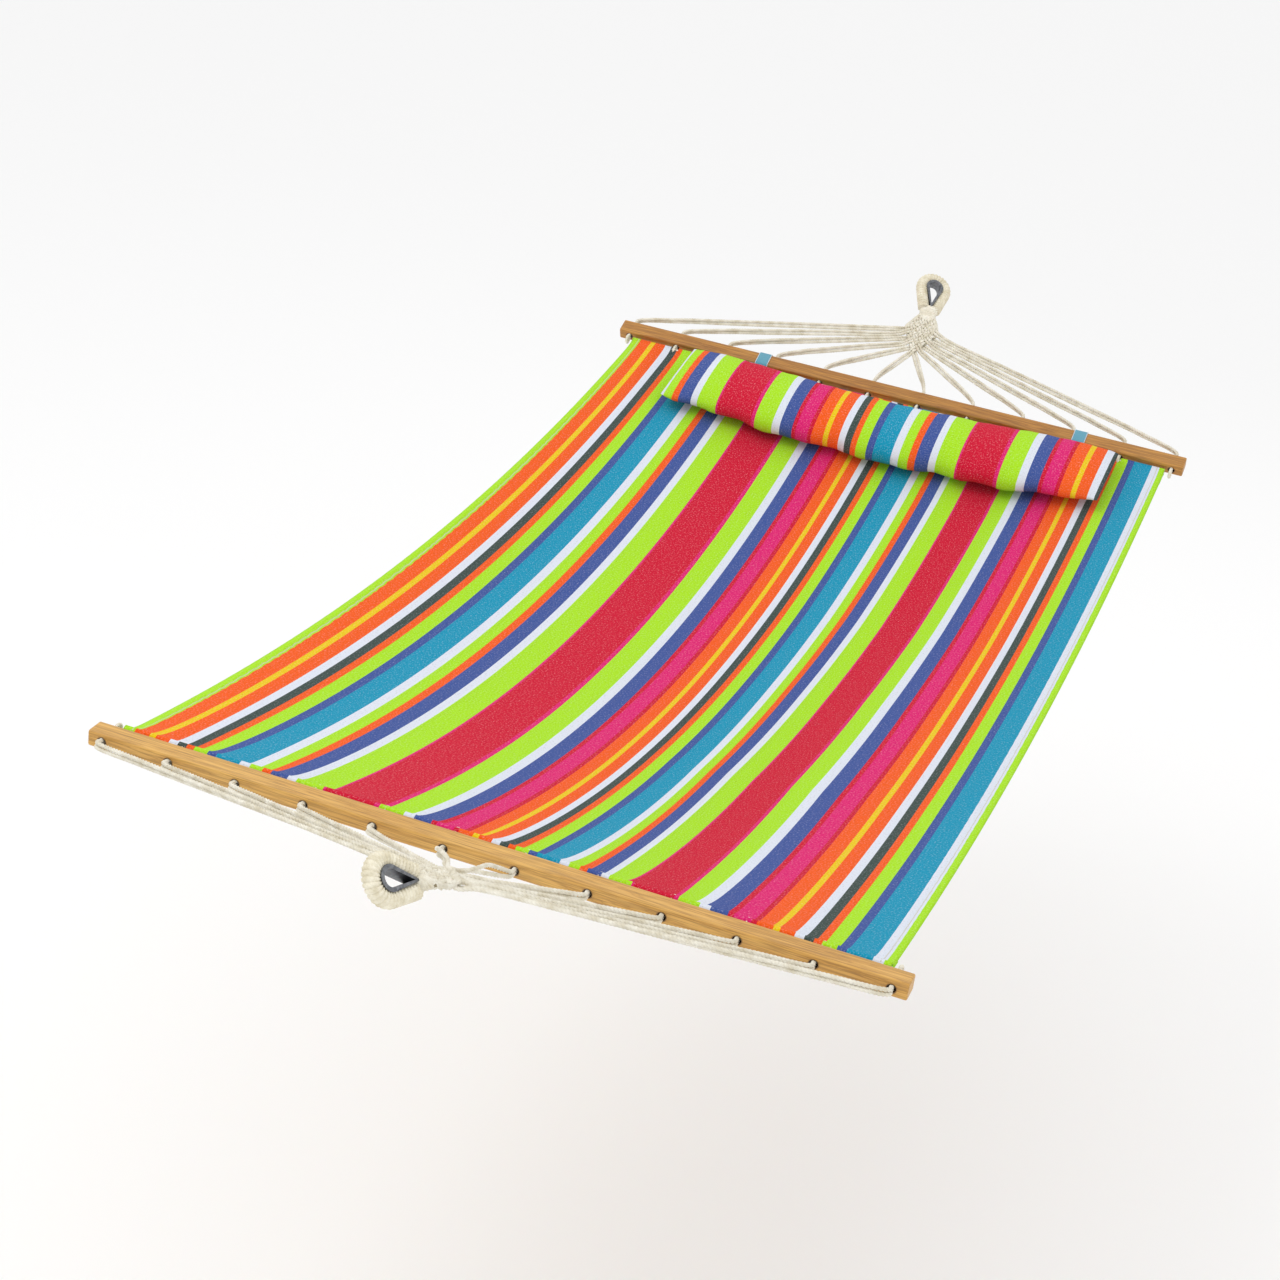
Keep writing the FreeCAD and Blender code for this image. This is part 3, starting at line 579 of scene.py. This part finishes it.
def mat_route(step_in, leg, flip):
    """One leg's way through the mat in fan terms (across, along, height), from its edge inward.
    step_in is the rope's share along the mat's edge; flip is +1 for ropes from the left."""
    route = []
    limit = min(1.0, 1 + INNER_SHARE - step_in)
    steps = [(j + 0.5) / CROSSINGS for j in range(CROSSINGS)]
    steps = [p for p in steps if p < limit - 0.02]
    slide = LEG_SLIDE * leg
    for j, p in enumerate(steps):
        over = 1 if (j + round(step_in * CROSSINGS - 0.5)) % 2 == 0 else -1
        across, along = mat_place(step_in + slide, p)
        route.append((flip * across, along, over * flip * OVER_AND_UNDER))
    if step_in < INNER_SHARE:
        across, along = mat_place(step_in + 0.12, 0.99)
        route.append((flip * across, along, 0))
    neck = flip * (3 + 13 * min(1, abs(step_in - 0.5))) * MM * (1 if step_in < INNER_SHARE else -1)
    route.append((neck, MAT_END + 6 * MM, leg * 3 * MM))
    return route


print("one leg's way through the mat", len(mat_route(0.25, 1, 1)), "points")

# %% [markdown]
# ### One nettle from end to end
#
# Each half of the line is listed from the neck to the hem rope, and the two halves meet in a tight
# turn round it. The two middle ropes of the foot hang slack, so theirs bow upwards.

# %% The nettles' lines
SLACK = (5, 6)
BIGHT_HALF = 6.3 * MM
BIGHT_END = 7.3 * MM


def nettle_points(end, index):
    """The whole middle line of one nettle in the row frame."""
    e = ends[end]
    x = hole_x[index]
    side = 1 if x > 0 else -1
    slack = end == "foot" and index in SLACK
    share = abs(x) / hole_pitch / 6
    edge_across, edge_along = MAT_HALF * share * side, MAT_POINT + 65 * MM * share

    def fan(across, along, height):
        return e["swing"] + e["across"] * across + e["fan"] * along + e["fan_up"] * height

    def bar(along, height):
        return e["hem"] + e["across"] * x + e["out"] * along + e["up"] * height

    halves = []
    for leg in (1, -1):
        start = fan(x, 6 * MM, leg * leg_height)
        points = [fan(*place) for place in mat_route(share, leg, -side)][::-1]
        way = np.array([edge_across - x, edge_along - 12 * MM])
        length = np.linalg.norm(way)
        way /= length
        beside = np.array([way[1], -way[0]]) * side
        runs = (0.9, 0.66, 0.4, 0.16) if slack else (0.96, 0.7, 0.4, 0.15)
        for run in runs:
            twist = min(1.0, run / 0.85)
            spread = LEG_SPREAD * math.sin(twist * math.pi / 2) * leg * (1 + 0.5 * run * (1 - run))
            lift = leg_height * math.cos(twist * math.pi / 2) * leg
            place = np.array([x, 12 * MM]) + way * length * run + beside * spread
            if slack:
                lift += 10 * MM * math.sin(math.pi * run) * (1 if leg > 0 else 0.25)
                place[0] += 5 * MM * math.sin(2 * math.pi * run) * leg
            points.append(fan(place[0], place[1], lift))
        points.append(start)
        points.append(bar(hem_reach - 6 * MM, leg * leg_height))
        points.append(bar(hem_reach - 30 * MM, leg * leg_height))
        points.append(bar(12 * MM, leg * 3.6 * MM))
        points.append(bar(4 * MM, leg * BIGHT_HALF))
        points.append(bar(-3 * MM, leg * BIGHT_HALF))
        halves.append(points)
    return halves[0] + [bar(-BIGHT_END, 0)] + halves[1][::-1]


print("one nettle has", len(nettle_points("head", 0)), "guide points")


# %% [markdown]
# ### All the nettles
#
# Each rope is made as one mesh, fixed in place. The rope bights inside a bar are stood for by its
# last rope.

# %% Make the nettles
nettles = []
for end, e in ends.items():
    for index in range(HOLES):
        name = f"{end}_rope_{index + 1:02d}"
        points = nettle_points(end, index)
        obj, line, length = laid_rope(name, points, rope_width, e["fan_up"])
        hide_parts(f"{end}_nettle_{index + 1:02d}")
        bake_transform(obj)
        nettles.append(obj)
    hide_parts(end + "_rope_bights")
largest = max(len(n.data.vertices) for n in nettles)
print(len(nettles), "nettles, the largest with", largest, "points")

# %% [markdown]
# ## Mat and neck
#
# The crossing ropes hide a core that keeps light from showing through the mat. The core is a
# slimmer and thinner copy of the CAD mat, shaped as a flat pad with rounded edges, and painted in
# darker rope colours as painted shade between the ropes. At the neck all the ropes draw together
# into one tight bundle, with a slight twist, and run on into the eye.


# %% The mat's core
def eye_axes(end):
    """The neck's place, the way from it to the hook, the way across, and the eye's bore axis."""
    mount = next(m for m in record["mounts"] if m["name"] == end + "_hook")
    hook, bore = np.array(mount["pos_m"]), np.array(mount["axis"])
    e = ends[end]
    neck = e["swing"] + e["fan"] * MAT_END
    way = hook - neck
    way /= np.linalg.norm(way)
    across = np.cross(way, bore)
    return neck, way, across / np.linalg.norm(across), bore


def solid_from_outline(name, outline, place, right, ahead, normal, half, bevel):
    """A flat pad: a plane shaped to an outline, thickened and rounded."""
    bpy.ops.object.select_all(action="DESELECT")
    mesh = bpy.data.meshes.new(name)
    top = [place + right * a + ahead * b + normal * half for a, b in outline]
    bottom = [p - normal * 2 * half for p in top]
    n = len(outline)
    faces = [list(range(n)), list(range(n, 2 * n))[::-1]]
    faces += [[k, k + n, (k + 1) % n + n, (k + 1) % n] for k in range(n)]
    mesh.from_pydata([tuple(p) for p in top + bottom], [], faces)
    obj = bpy.data.objects.new(name, mesh)
    bpy.context.scene.collection.objects.link(obj)
    bpy.context.view_layer.objects.active = obj
    obj.select_set(True)
    bpy.ops.object.mode_set(mode="EDIT")
    bpy.ops.mesh.select_all(action="SELECT")
    bpy.ops.mesh.normals_make_consistent(inside=False)
    bpy.ops.object.mode_set(mode="OBJECT")
    rounding = obj.modifiers.new("rounding", "BEVEL")
    rounding.width = bevel
    rounding.segments = 3
    bpy.ops.object.modifier_apply(modifier="rounding")
    obj.data.shade_smooth()
    return obj


for end, e in ends.items():
    outline = [(0, 96), (31, 152), (17, 198), (-17, 198), (-31, 152)]
    core = solid_from_outline(
        end + "_mat_core",
        [(a * MM, b * MM) for a, b in outline],
        e["swing"],
        e["across"],
        e["fan"],
        e["fan_up"],
        2.6 * MM,
        1.5 * MM,
    )
    # The core's dark rope colours are painted shade seen between the crossing ropes.
    put_on(core, shaded_rope)
    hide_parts(end + "_clew_weave")
    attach(core, end + "_clew")
    print(core.name, len(core.data.polygons), "faces")


# %% [markdown]
# ### The neck
#
# An oval tube with lengthwise ridges shows the ropes on the outside of the bundle. It is flat where
# it leaves the mat and fills out towards the eye.

# %% The neck
def strand_bundle(name, line, halves, first_normal, strands, pitch):
    """A bundle of ropes side by side: an oval tube with a ridge for each strand."""
    normals, seconds = carried_frames(line, first_normal)
    run = np.concatenate([[0], np.cumsum(np.linalg.norm(np.diff(line, axis=0), axis=1))])
    angle = np.linspace(0, 2 * math.pi, strands * 8, endpoint=False)
    phase = strands * (angle[None, :] + 2 * math.pi * run[:, None] / pitch)
    ridge = np.abs(np.sin(phase / 2)) ** 0.6
    twist = np.cos(2 * math.pi * run[:, None] / (7 * MM) + phase)
    grow = 0.84 + 0.16 * ridge + 0.03 * twist * ridge
    wide = (halves[:, 0][:, None] * grow) * np.cos(angle)
    thick = (halves[:, 1][:, None] * grow) * np.sin(angle)
    rings = (
        line[:, None, :]
        + seconds[:, None, :] * wide[:, :, None]
        + normals[:, None, :] * thick[:, :, None]
    )
    return tube_mesh(name, rings)


for end, e in ends.items():
    neck, way, right_way, bore = eye_axes(end)
    low = e["swing"] + e["fan"] * (MAT_END - 16 * MM)
    line, length = smooth_line([low, neck, neck + way * 17 * MM], 1 * MM)
    share = np.linspace(0, 1, len(line))
    wide = np.interp(share, [0, 0.45, 0.7, 1], [15, 17.5, 19, 21])
    thick = np.interp(share, [0, 0.3, 0.7, 1], [5.5, 9, 12, 11])
    halves = np.stack([wide, thick], -1) * MM
    bundle = strand_bundle(end + "_neck_bundle", line, halves, e["fan_up"], 14, 90 * MM)
    put_on(bundle, rope_white)
    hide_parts(end + "_neck_knot")
    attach(bundle, end + "_clew")
    print(bundle.name, len(bundle.data.polygons), "faces")


# %% [markdown]
# ## Eyes
#
# The bundle is bent round the thimble and served: wound tightly from end to end with rope, each
# turn touching the last. The winding is modelled as ridges round the bundle, slightly slanted as a
# helix is, and each ridge carries the twist of its own rope.

# %% The served eyes
EYE_REACH, EYE_RADIUS, EYE_FOOT = 67 * MM, 26 * MM, 13 * MM
BUNDLE = 12 * MM


def eye_line(end, step):
    """The middle line of the bundle: out along one leg, round the crown and back."""
    neck, way, right_way, bore = eye_axes(end)
    foot = np.array([12.2 * MM, EYE_FOOT])
    away = math.hypot(foot[0], EYE_REACH - foot[1])
    lean = math.asin(EYE_RADIUS / away) - math.atan2(foot[0], EYE_REACH - foot[1])
    touch = np.array([EYE_RADIUS * math.cos(lean), EYE_REACH - EYE_RADIUS * math.sin(lean)])
    flat = [foot + (touch - foot) * t for t in np.linspace(0, 1, 12, endpoint=False)]
    for a in np.linspace(-lean, math.pi + lean, 60):
        flat.append(np.array([EYE_RADIUS * math.cos(a), EYE_REACH + EYE_RADIUS * math.sin(a)]))
    mirrored = [np.array([-p[0], p[1]]) for p in flat[:12]][::-1]
    line = np.array([neck + right_way * a + way * b for a, b in flat + mirrored])
    run = np.concatenate([[0], np.cumsum(np.linalg.norm(np.diff(line, axis=0), axis=1))])
    at = np.linspace(0, run[-1], int(run[-1] / step) + 1)
    return np.column_stack([np.interp(at, run, line[:, k]) for k in range(3)]), at, bore


def served_eye(end):
    line, at, bore = eye_line(end, 0.55 * MM)
    normals, seconds = carried_frames(line, bore)
    sides = 72
    angle = np.linspace(0, 2 * math.pi, sides, endpoint=False)
    turn = 6.0 * MM
    phase = at[:, None] / turn + angle[None, :] / (2 * math.pi)
    ridge = np.sqrt(1 - (2 * (phase % 1) - 1) ** 2 * 0.96)
    strand = np.cos(2 * math.pi * (phase % 1 + angle[None, :] * 13 / (2 * math.pi)))
    size = BUNDLE - 3.4 * MM + ridge * 3.4 * MM + strand * ridge * 0.5 * MM
    rings = (
        line[:, None, :]
        + normals[:, None, :] * (size * np.cos(angle))[:, :, None]
        + seconds[:, None, :] * (size * np.sin(angle))[:, :, None]
    )
    obj = tube_mesh(end + "_served_eye", rings)
    put_on(obj, serving_white)
    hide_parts(end + "_eye_serving", end + "_eye_core")
    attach(obj, end + "_clew")
    return obj


for end in ends:
    obj = served_eye(end)
    print(obj.name, len(obj.data.polygons), "faces")

# %% [markdown]
# ## Bed
#
# The cloth hangs between the hem ropes in a curve that is deepest at its middle. The bars hold it
# a bit narrower than it was cut, so it lies in long soft folds, most of them on the right. Near
# the ends it is drawn in at each rope and swells between them. Both ends wrap round a hem rope
# and come back under as a sewn flap, with a notch at each rope.

# %% The bed's hang
bed_low, bed_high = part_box("bed_fabric")
half_width = (bed_high[0] - bed_low[0]) / 2
half_length = (hem_head[1] - hem_foot[1]) / 2
bed_middle_y = (hem_head[1] + hem_foot[1]) / 2
EDGE_SAG, MIDDLE_SAG = 85 * MM, 180 * MM
WRAP = 6.2 * MM
FOOT_CASING = 4 * MM
FLAP = 40 * MM


# Each long fold: its place across the bed and its width in metres, and its height in millimetres.
LONG_FOLDS = [
    (0.235, 0.030, -7.0),
    (0.165, 0.022, 4.5),
    (0.300, 0.024, 4.5),
    (0.085, 0.018, -3.5),
    (0.375, 0.020, -4.0),
    (0.020, 0.024, 3.0),
    (0.450, 0.025, 3.5),
    (-0.110, 0.030, -2.5),
    (-0.300, 0.035, 2.5),
    (-0.420, 0.030, -2.5),
]


def bed_height(x, y):
    """The cloth's height below the hem ropes at a place measured from the bed's middle."""
    sag = EDGE_SAG + (MIDDLE_SAG - EDGE_SAG) * (1 - (x / half_width) ** 2)
    return -sag * (1 - (y / half_length) ** 2)


def bump_at(value, place, width):
    return np.exp(-(((value - place) / width) ** 2))


def folds(x, y):
    """The long soft folds and the gathers at both ends, as a height on top of the hang."""
    inside = np.clip(1 - (y / half_length) ** 2, 0, 1) ** 0.5
    long_folds = 0
    for place, width, height in LONG_FOLDS:
        wander = 0.012 * np.sin(3.1 * y + 9 * place)
        long_folds = long_folds + height * bump_at(x + wander, place, width)
    end_gap = half_length - np.abs(y)
    swell = (1 - np.cos(2 * np.pi * (x + hole_pitch / 2) / hole_pitch)) / 2
    near = np.exp(-end_gap / 0.07) * (1 - np.exp(-end_gap / 0.012))
    gathers = 11 * near * (swell - 0.3)
    pucker = bump_at(np.abs(x), half_width - 0.016, 0.011)
    hem_pucker = 1.5 * pucker * np.sin(2 * np.pi * y / 0.031 + 2 * np.sin(y * 23))
    hem_pucker = hem_pucker - 1.6 * bump_at(np.abs(x), half_width - 0.016, 0.004)
    hem_pucker = hem_pucker - 5.0 * np.exp(-(half_width - np.abs(x)) / 0.004)
    return MM * (long_folds * inside * 0.8 + gathers + hem_pucker * inside)


# %% [markdown]
# ### The bed's rows
#
# The cloth is a grid. Its rows run from the sewn flap, round the hem rope, along the bed and round
# the other hem rope to the other flap. The UV map keeps each column's place on the flat cloth, so
# the stripes close up where the cloth is folded.

# %% The bed's cloth
ACROSS, ALONG = 232, 190
columns = np.linspace(-half_width, half_width, ACROSS + 1)
seen = np.array([-0.575, -0.0495, 0.110, 0.190, 0.300, 0.387, 0.575])
flat_across = np.array([0.002, 0.5275, 0.706, 0.806, 0.948, 1.037, 1.233])
flat_u = np.interp(columns, seen, flat_across)
wrap_angles = np.linspace(0, 1.12 * np.pi, 8)
rows = [("flap", -1, k) for k in np.linspace(FLAP, 8 * MM, 6)]
rows += [("wrap", -1, a) for a in wrap_angles[::-1]]
rows += [("bed", 0, v) for v in np.linspace(-half_length + 4 * MM, half_length - 4 * MM, ALONG)]
rows += [("wrap", 1, a) for a in wrap_angles]
rows += [("flap", 1, k) for k in np.linspace(8 * MM, FLAP, 6)]


def bed_row(kind, side, value):
    """One crosswise row of the cloth: its places from the bed's middle."""
    x = columns
    if kind == "bed":
        y = np.full_like(x, value)
        z = bed_height(x, y) + folds(x, y)
        end = np.exp(-(half_length - abs(value)) / 0.012) * (WRAP * 0.85 + (value < 0) * FOOT_CASING)
        sway = 0.012 * bump_at(x, 0.24, 0.16) * np.interp(
            value, [-0.96, -0.40, 0.0, 0.30, 0.75], [-0.8, -1.4, -0.6, 0.3, 1.0]
        )
        return x + sway, y, z + end
    if kind == "wrap":
        radius = WRAP + (side < 0) * FOOT_CASING
        y = side * (half_length + radius * math.sin(value))
        return x, np.full_like(x, y), np.full_like(x, radius * math.cos(value))
    y = side * (half_length - value * np.ones_like(x))
    under = bed_height(x, y) + folds(x, y) - 3.2 * MM
    ease = min(1, value / (22 * MM))
    return x, y, under * ease + (1 - ease) * (-WRAP * 0.95)


grid = np.array([np.stack(bed_row(*row), -1) for row in rows])
grid += np.array([middle_x, bed_middle_y, hem_head[2]])
run_v = np.concatenate([[0], np.cumsum(np.linalg.norm(np.diff(grid[:, 60], axis=0), axis=1))])
print("cloth", len(rows), "rows of", ACROSS, "faces, length", round(run_v[-1], 3))


# %% [markdown]
# ### Notches and thickness
#
# Faces over each rope hole are left out where the hem turns, which makes the notches. The sheet is
# then given its thickness to both sides.

# %% Cut the notches and give it thickness
def cloth_from_grid(name, grid, u, v, skip):
    """A sheet through a grid of points, with a UV map of the flat cloth in metres."""
    count, wide, _ = grid.shape
    faces, uvs = [], []
    for r in range(count - 1):
        for c in range(wide - 1):
            if skip(r, c):
                continue
            a = r * wide + c
            faces.append((a, a + 1, a + wide + 1, a + wide))
            uvs += [(u[c], v[r]), (u[c + 1], v[r]), (u[c + 1], v[r + 1]), (u[c], v[r + 1])]
    mesh = bpy.data.meshes.new(name)
    mesh.from_pydata(grid.reshape(-1, 3).tolist(), [], faces)
    layer = mesh.uv_layers.new(name="flat")
    layer.data.foreach_set("uv", np.array(uvs, float).ravel())
    obj = bpy.data.objects.new(name, mesh)
    bpy.context.scene.collection.objects.link(obj)
    bpy.ops.object.select_all(action="DESELECT")
    obj.select_set(True)
    bpy.context.view_layer.objects.active = obj
    bpy.ops.object.mode_set(mode="EDIT")
    bpy.ops.mesh.select_all(action="SELECT")
    bpy.ops.mesh.delete_loose()
    bpy.ops.object.mode_set(mode="OBJECT")
    return obj


def thicken(obj, thickness, offset=0.0):
    solid = obj.modifiers.new("thickness", "SOLIDIFY")
    solid.thickness = thickness
    solid.offset = offset
    bpy.context.view_layer.objects.active = obj
    bpy.ops.object.modifier_apply(modifier="thickness")
    obj.data.shade_smooth()


def at_notch(r, c):
    kind, side, value = rows[r]
    nearest = min(abs((columns[c] + columns[c + 1]) / 2 - x) for x in hole_x)
    after = rows[r + 1][0]
    if side < 0 and kind == "wrap" and value < 0.35 * math.pi:
        return False
    return nearest < 8 * MM and (kind == "wrap" or after == "wrap")


bed = cloth_from_grid("striped_bed", grid, flat_u, run_v, at_notch)
thicken(bed, 1.6 * MM)
cloth_end = 1000 * run_v[-1]
bed_cloth = striped_cloth(
    "bed_stripes", [50.0, 56.0, cloth_end - 50, cloth_end - 56], [16.0, 1233.0 - 16.0]
)
put_on(bed, bed_cloth)
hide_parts("bed_fabric")
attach(bed, "bed")
for end in ends:
    put_on(frame["nodes"][end + "_hem_rope"], rope_white)
print("bed faces", len(bed.data.polygons))

# %% [markdown]
# ## Pillow
#
# The pillow is a slim bolster of the same cloth, with its stripes across it, tied at the head.
# Its case is two panels sewn together at the edge and stuffed, so it is fat in the middle, and it
# puckers along its seams.

# %% The pillow's case
pillow_low, pillow_high = (np.array(c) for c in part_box("pillow_case"))
pillow_half = (pillow_high[0] - pillow_low[0]) / 2
pillow_x = (pillow_high[0] + pillow_low[0]) / 2
PILLOW_DEPTH, PILLOW_THICK, PILLOW_BOW = 170 * MM, 70 * MM, 36 * MM
PILLOW_REST, PILLOW_DROOP, PILLOW_BACK = 37.5 * MM, 9 * MM, 22 * MM
DEPTH_SHARES = ([0, 0.5, 0.8, 0.93, 1], [1, 1.04, 1.11, 1.13, 1.1])


def pillow_ring(t, sides):
    """The case's section at a share t of its half length, as places and flat distances."""
    x = pillow_x + t * (pillow_half - 2 * MM)
    local = x - middle_x
    share = abs(t)
    deep = PILLOW_DEPTH * float(np.interp(share, *DEPTH_SHARES))
    deep *= 1 + 0.025 * math.sin(27 * x) + 0.018 * math.sin(61 * x + 1)
    y0 = half_length - PILLOW_BACK - PILLOW_BOW * (1 - t**2) - deep / 2
    front = bed_height(local, y0 - deep / 2)
    back = bed_height(local, y0 + deep / 2)
    lean = math.atan2(back - front, deep)
    rest = (front + back) / 2 + (PILLOW_REST - PILLOW_DROOP * share**6) / math.cos(lean)
    deep /= 2
    full = (1 - share**4) ** 0.5
    thick = PILLOW_THICK / 2 * max(full, 0.02) * (1 + 0.03 * math.sin(38 * x + 2))
    angle = np.linspace(0, 2 * math.pi, sides, endpoint=False)
    c, s = np.cos(angle), np.sin(angle)
    u = np.sign(c) * np.abs(c) ** 0.95 * deep
    w = np.sign(s) * np.abs(s) ** 0.85 * thick
    seam = np.exp(-((np.abs(s)) / 0.25) ** 2)
    w = w + 1.5 * MM * seam * np.sin(x * 2 * math.pi / 0.019 + math.sin(x * 31)) * full
    crease = 1.4 * np.sin(x * 2 * math.pi / 0.083 + 2 * c)
    crease += 1.1 * np.sin(x * 2 * math.pi / 0.041 + 3.1 * c + 1.3) * np.abs(c)
    crease += 2.2 * math.exp(-(1 - share) / 0.10) * np.sin(u * 2 * math.pi / 0.027 + 1.1)
    w = w + crease * MM * np.abs(s) * full * np.sign(s)
    y = bed_middle_y + y0 + u * math.cos(lean) - w * math.sin(lean)
    z = hem_head[2] + rest + u * math.sin(lean) + w * math.cos(lean)
    return np.stack([np.full(sides, x), y, z], -1), angle * deep


shares = np.concatenate(
    [[-1, -0.997, -0.99], np.linspace(-0.98, 0.98, 240), [0.99, 0.997, 1]]
)
SIDES = 96
pillow_rings = np.array([pillow_ring(t, SIDES)[0] for t in shares])
pillow = tube_mesh("striped_pillow", pillow_rings)
layer = pillow.data.uv_layers.new(name="flat")
across = np.repeat((shares + 1) * pillow_half + 0.198, SIDES)
around = np.tile(np.linspace(0, 0.4, SIDES), len(shares))
loops = np.zeros(len(pillow.data.loops), int)
pillow.data.loops.foreach_get("vertex_index", loops)
layer.data.foreach_set("uv", np.stack([across[loops], around[loops]], -1).ravel())
put_on(pillow, striped_cloth("pillow_stripes", [], []))
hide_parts("pillow_case", "pillow_fill")
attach(pillow, "pillow")
print("pillow", round(2 * pillow_half, 3), "long,", len(pillow.data.polygons), "faces")

# %% [markdown]
# ## Straps
#
# Two cloth straps tie the pillow to the head bar: a band round the bar and a tab up to the
# pillow's seam. They are teal with a thin white edge.

# %% The straps' finish
strap_material, tree, surface = new_material("teal_strap", 0.85)
place = node(tree, "UVMap", uv_map="flat").outputs[0]
parts = node(tree, "SeparateXYZ", {0: place})
edge = math_node(tree, "ABSOLUTE", math_node(tree, "SUBTRACT", parts.outputs[0], 0.0135))
is_edge = math_node(tree, "GREATER_THAN", edge, 0.0122)
colour = blend_colour(tree, is_edge, tint(46, 150, 176), tint(222, 228, 238))
speck = node(tree, "TexNoise", {"Vector": place, "Scale": 700.0, "Detail": 2.0}).outputs[0]
colour = blend_colour(tree, math_node(tree, "MULTIPLY", speck, 0.3), colour, tint(230, 235, 240))
ribs = math_node(tree, "SINE", math_node(tree, "MULTIPLY", parts.outputs[1], 5500.0))
feed(tree, surface, colour, ribs, 0.0003, 0.5)
print("strap finish", strap_material.name)


# %% [markdown]
# ### The strap pieces
#
# A loop goes once round the bar. A tab runs from the loop's inner face up to the pillow's seam.

# %% The straps
def strap_band(name, side, outline, body):
    """A band that follows an outline in the bar's own (out, up) plane, one strap wide."""
    e = ends["head"]
    low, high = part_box("pillow_strap_" + side)
    width = high[0] - low[0]
    xs = np.linspace(low[0], high[0], 9)
    line = [(a * MM, b * MM) for a, b in outline]
    grid = []
    for a, b in line:
        base = e["hem"] + e["out"] * a + e["up"] * b
        grid.append([(x, base[1], base[2]) for x in xs])
    grid = np.array(grid)
    v = np.concatenate([[0], np.cumsum(np.linalg.norm(np.diff(grid[:, 0], axis=0), axis=1))])
    obj = cloth_from_grid(name, grid, np.linspace(0, width, 9), v, lambda r, c: False)
    thicken(obj, 1.5 * MM)
    put_on(obj, strap_material)
    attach(obj, body)
    return obj


def rounded_box_line(low_a, high_a, low_b, high_b, radius, count=6):
    """A closed line round a box with rounded corners."""
    line = []
    for cx, cy, start in (
        (high_a - radius, high_b - radius, 0),
        (low_a + radius, high_b - radius, 90),
        (low_a + radius, low_b + radius, 180),
        (high_a - radius, low_b + radius, 270),
    ):
        for t in np.linspace(start, start + 90, count):
            a = math.radians(t)
            line.append((cx + radius * math.cos(a), cy + radius * math.sin(a)))
    return line + [line[0]]


for side in ("left", "right"):
    loop_line = rounded_box_line(9.8, 46.2, -14.2, 14.2, 5.5)
    band = strap_band("strap_loop_" + side, side, loop_line, "head_bar")
    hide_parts("pillow_strap_" + side)
    tail = [(9.8, 8), (6, 13), (1, 17), (-6, 23), (-14, 32), (-21, 41), (-25, 44)]
    strap_band("strap_tab_" + side, side, tail, "head_bar")
    print(band.name, len(band.data.polygons), "faces")
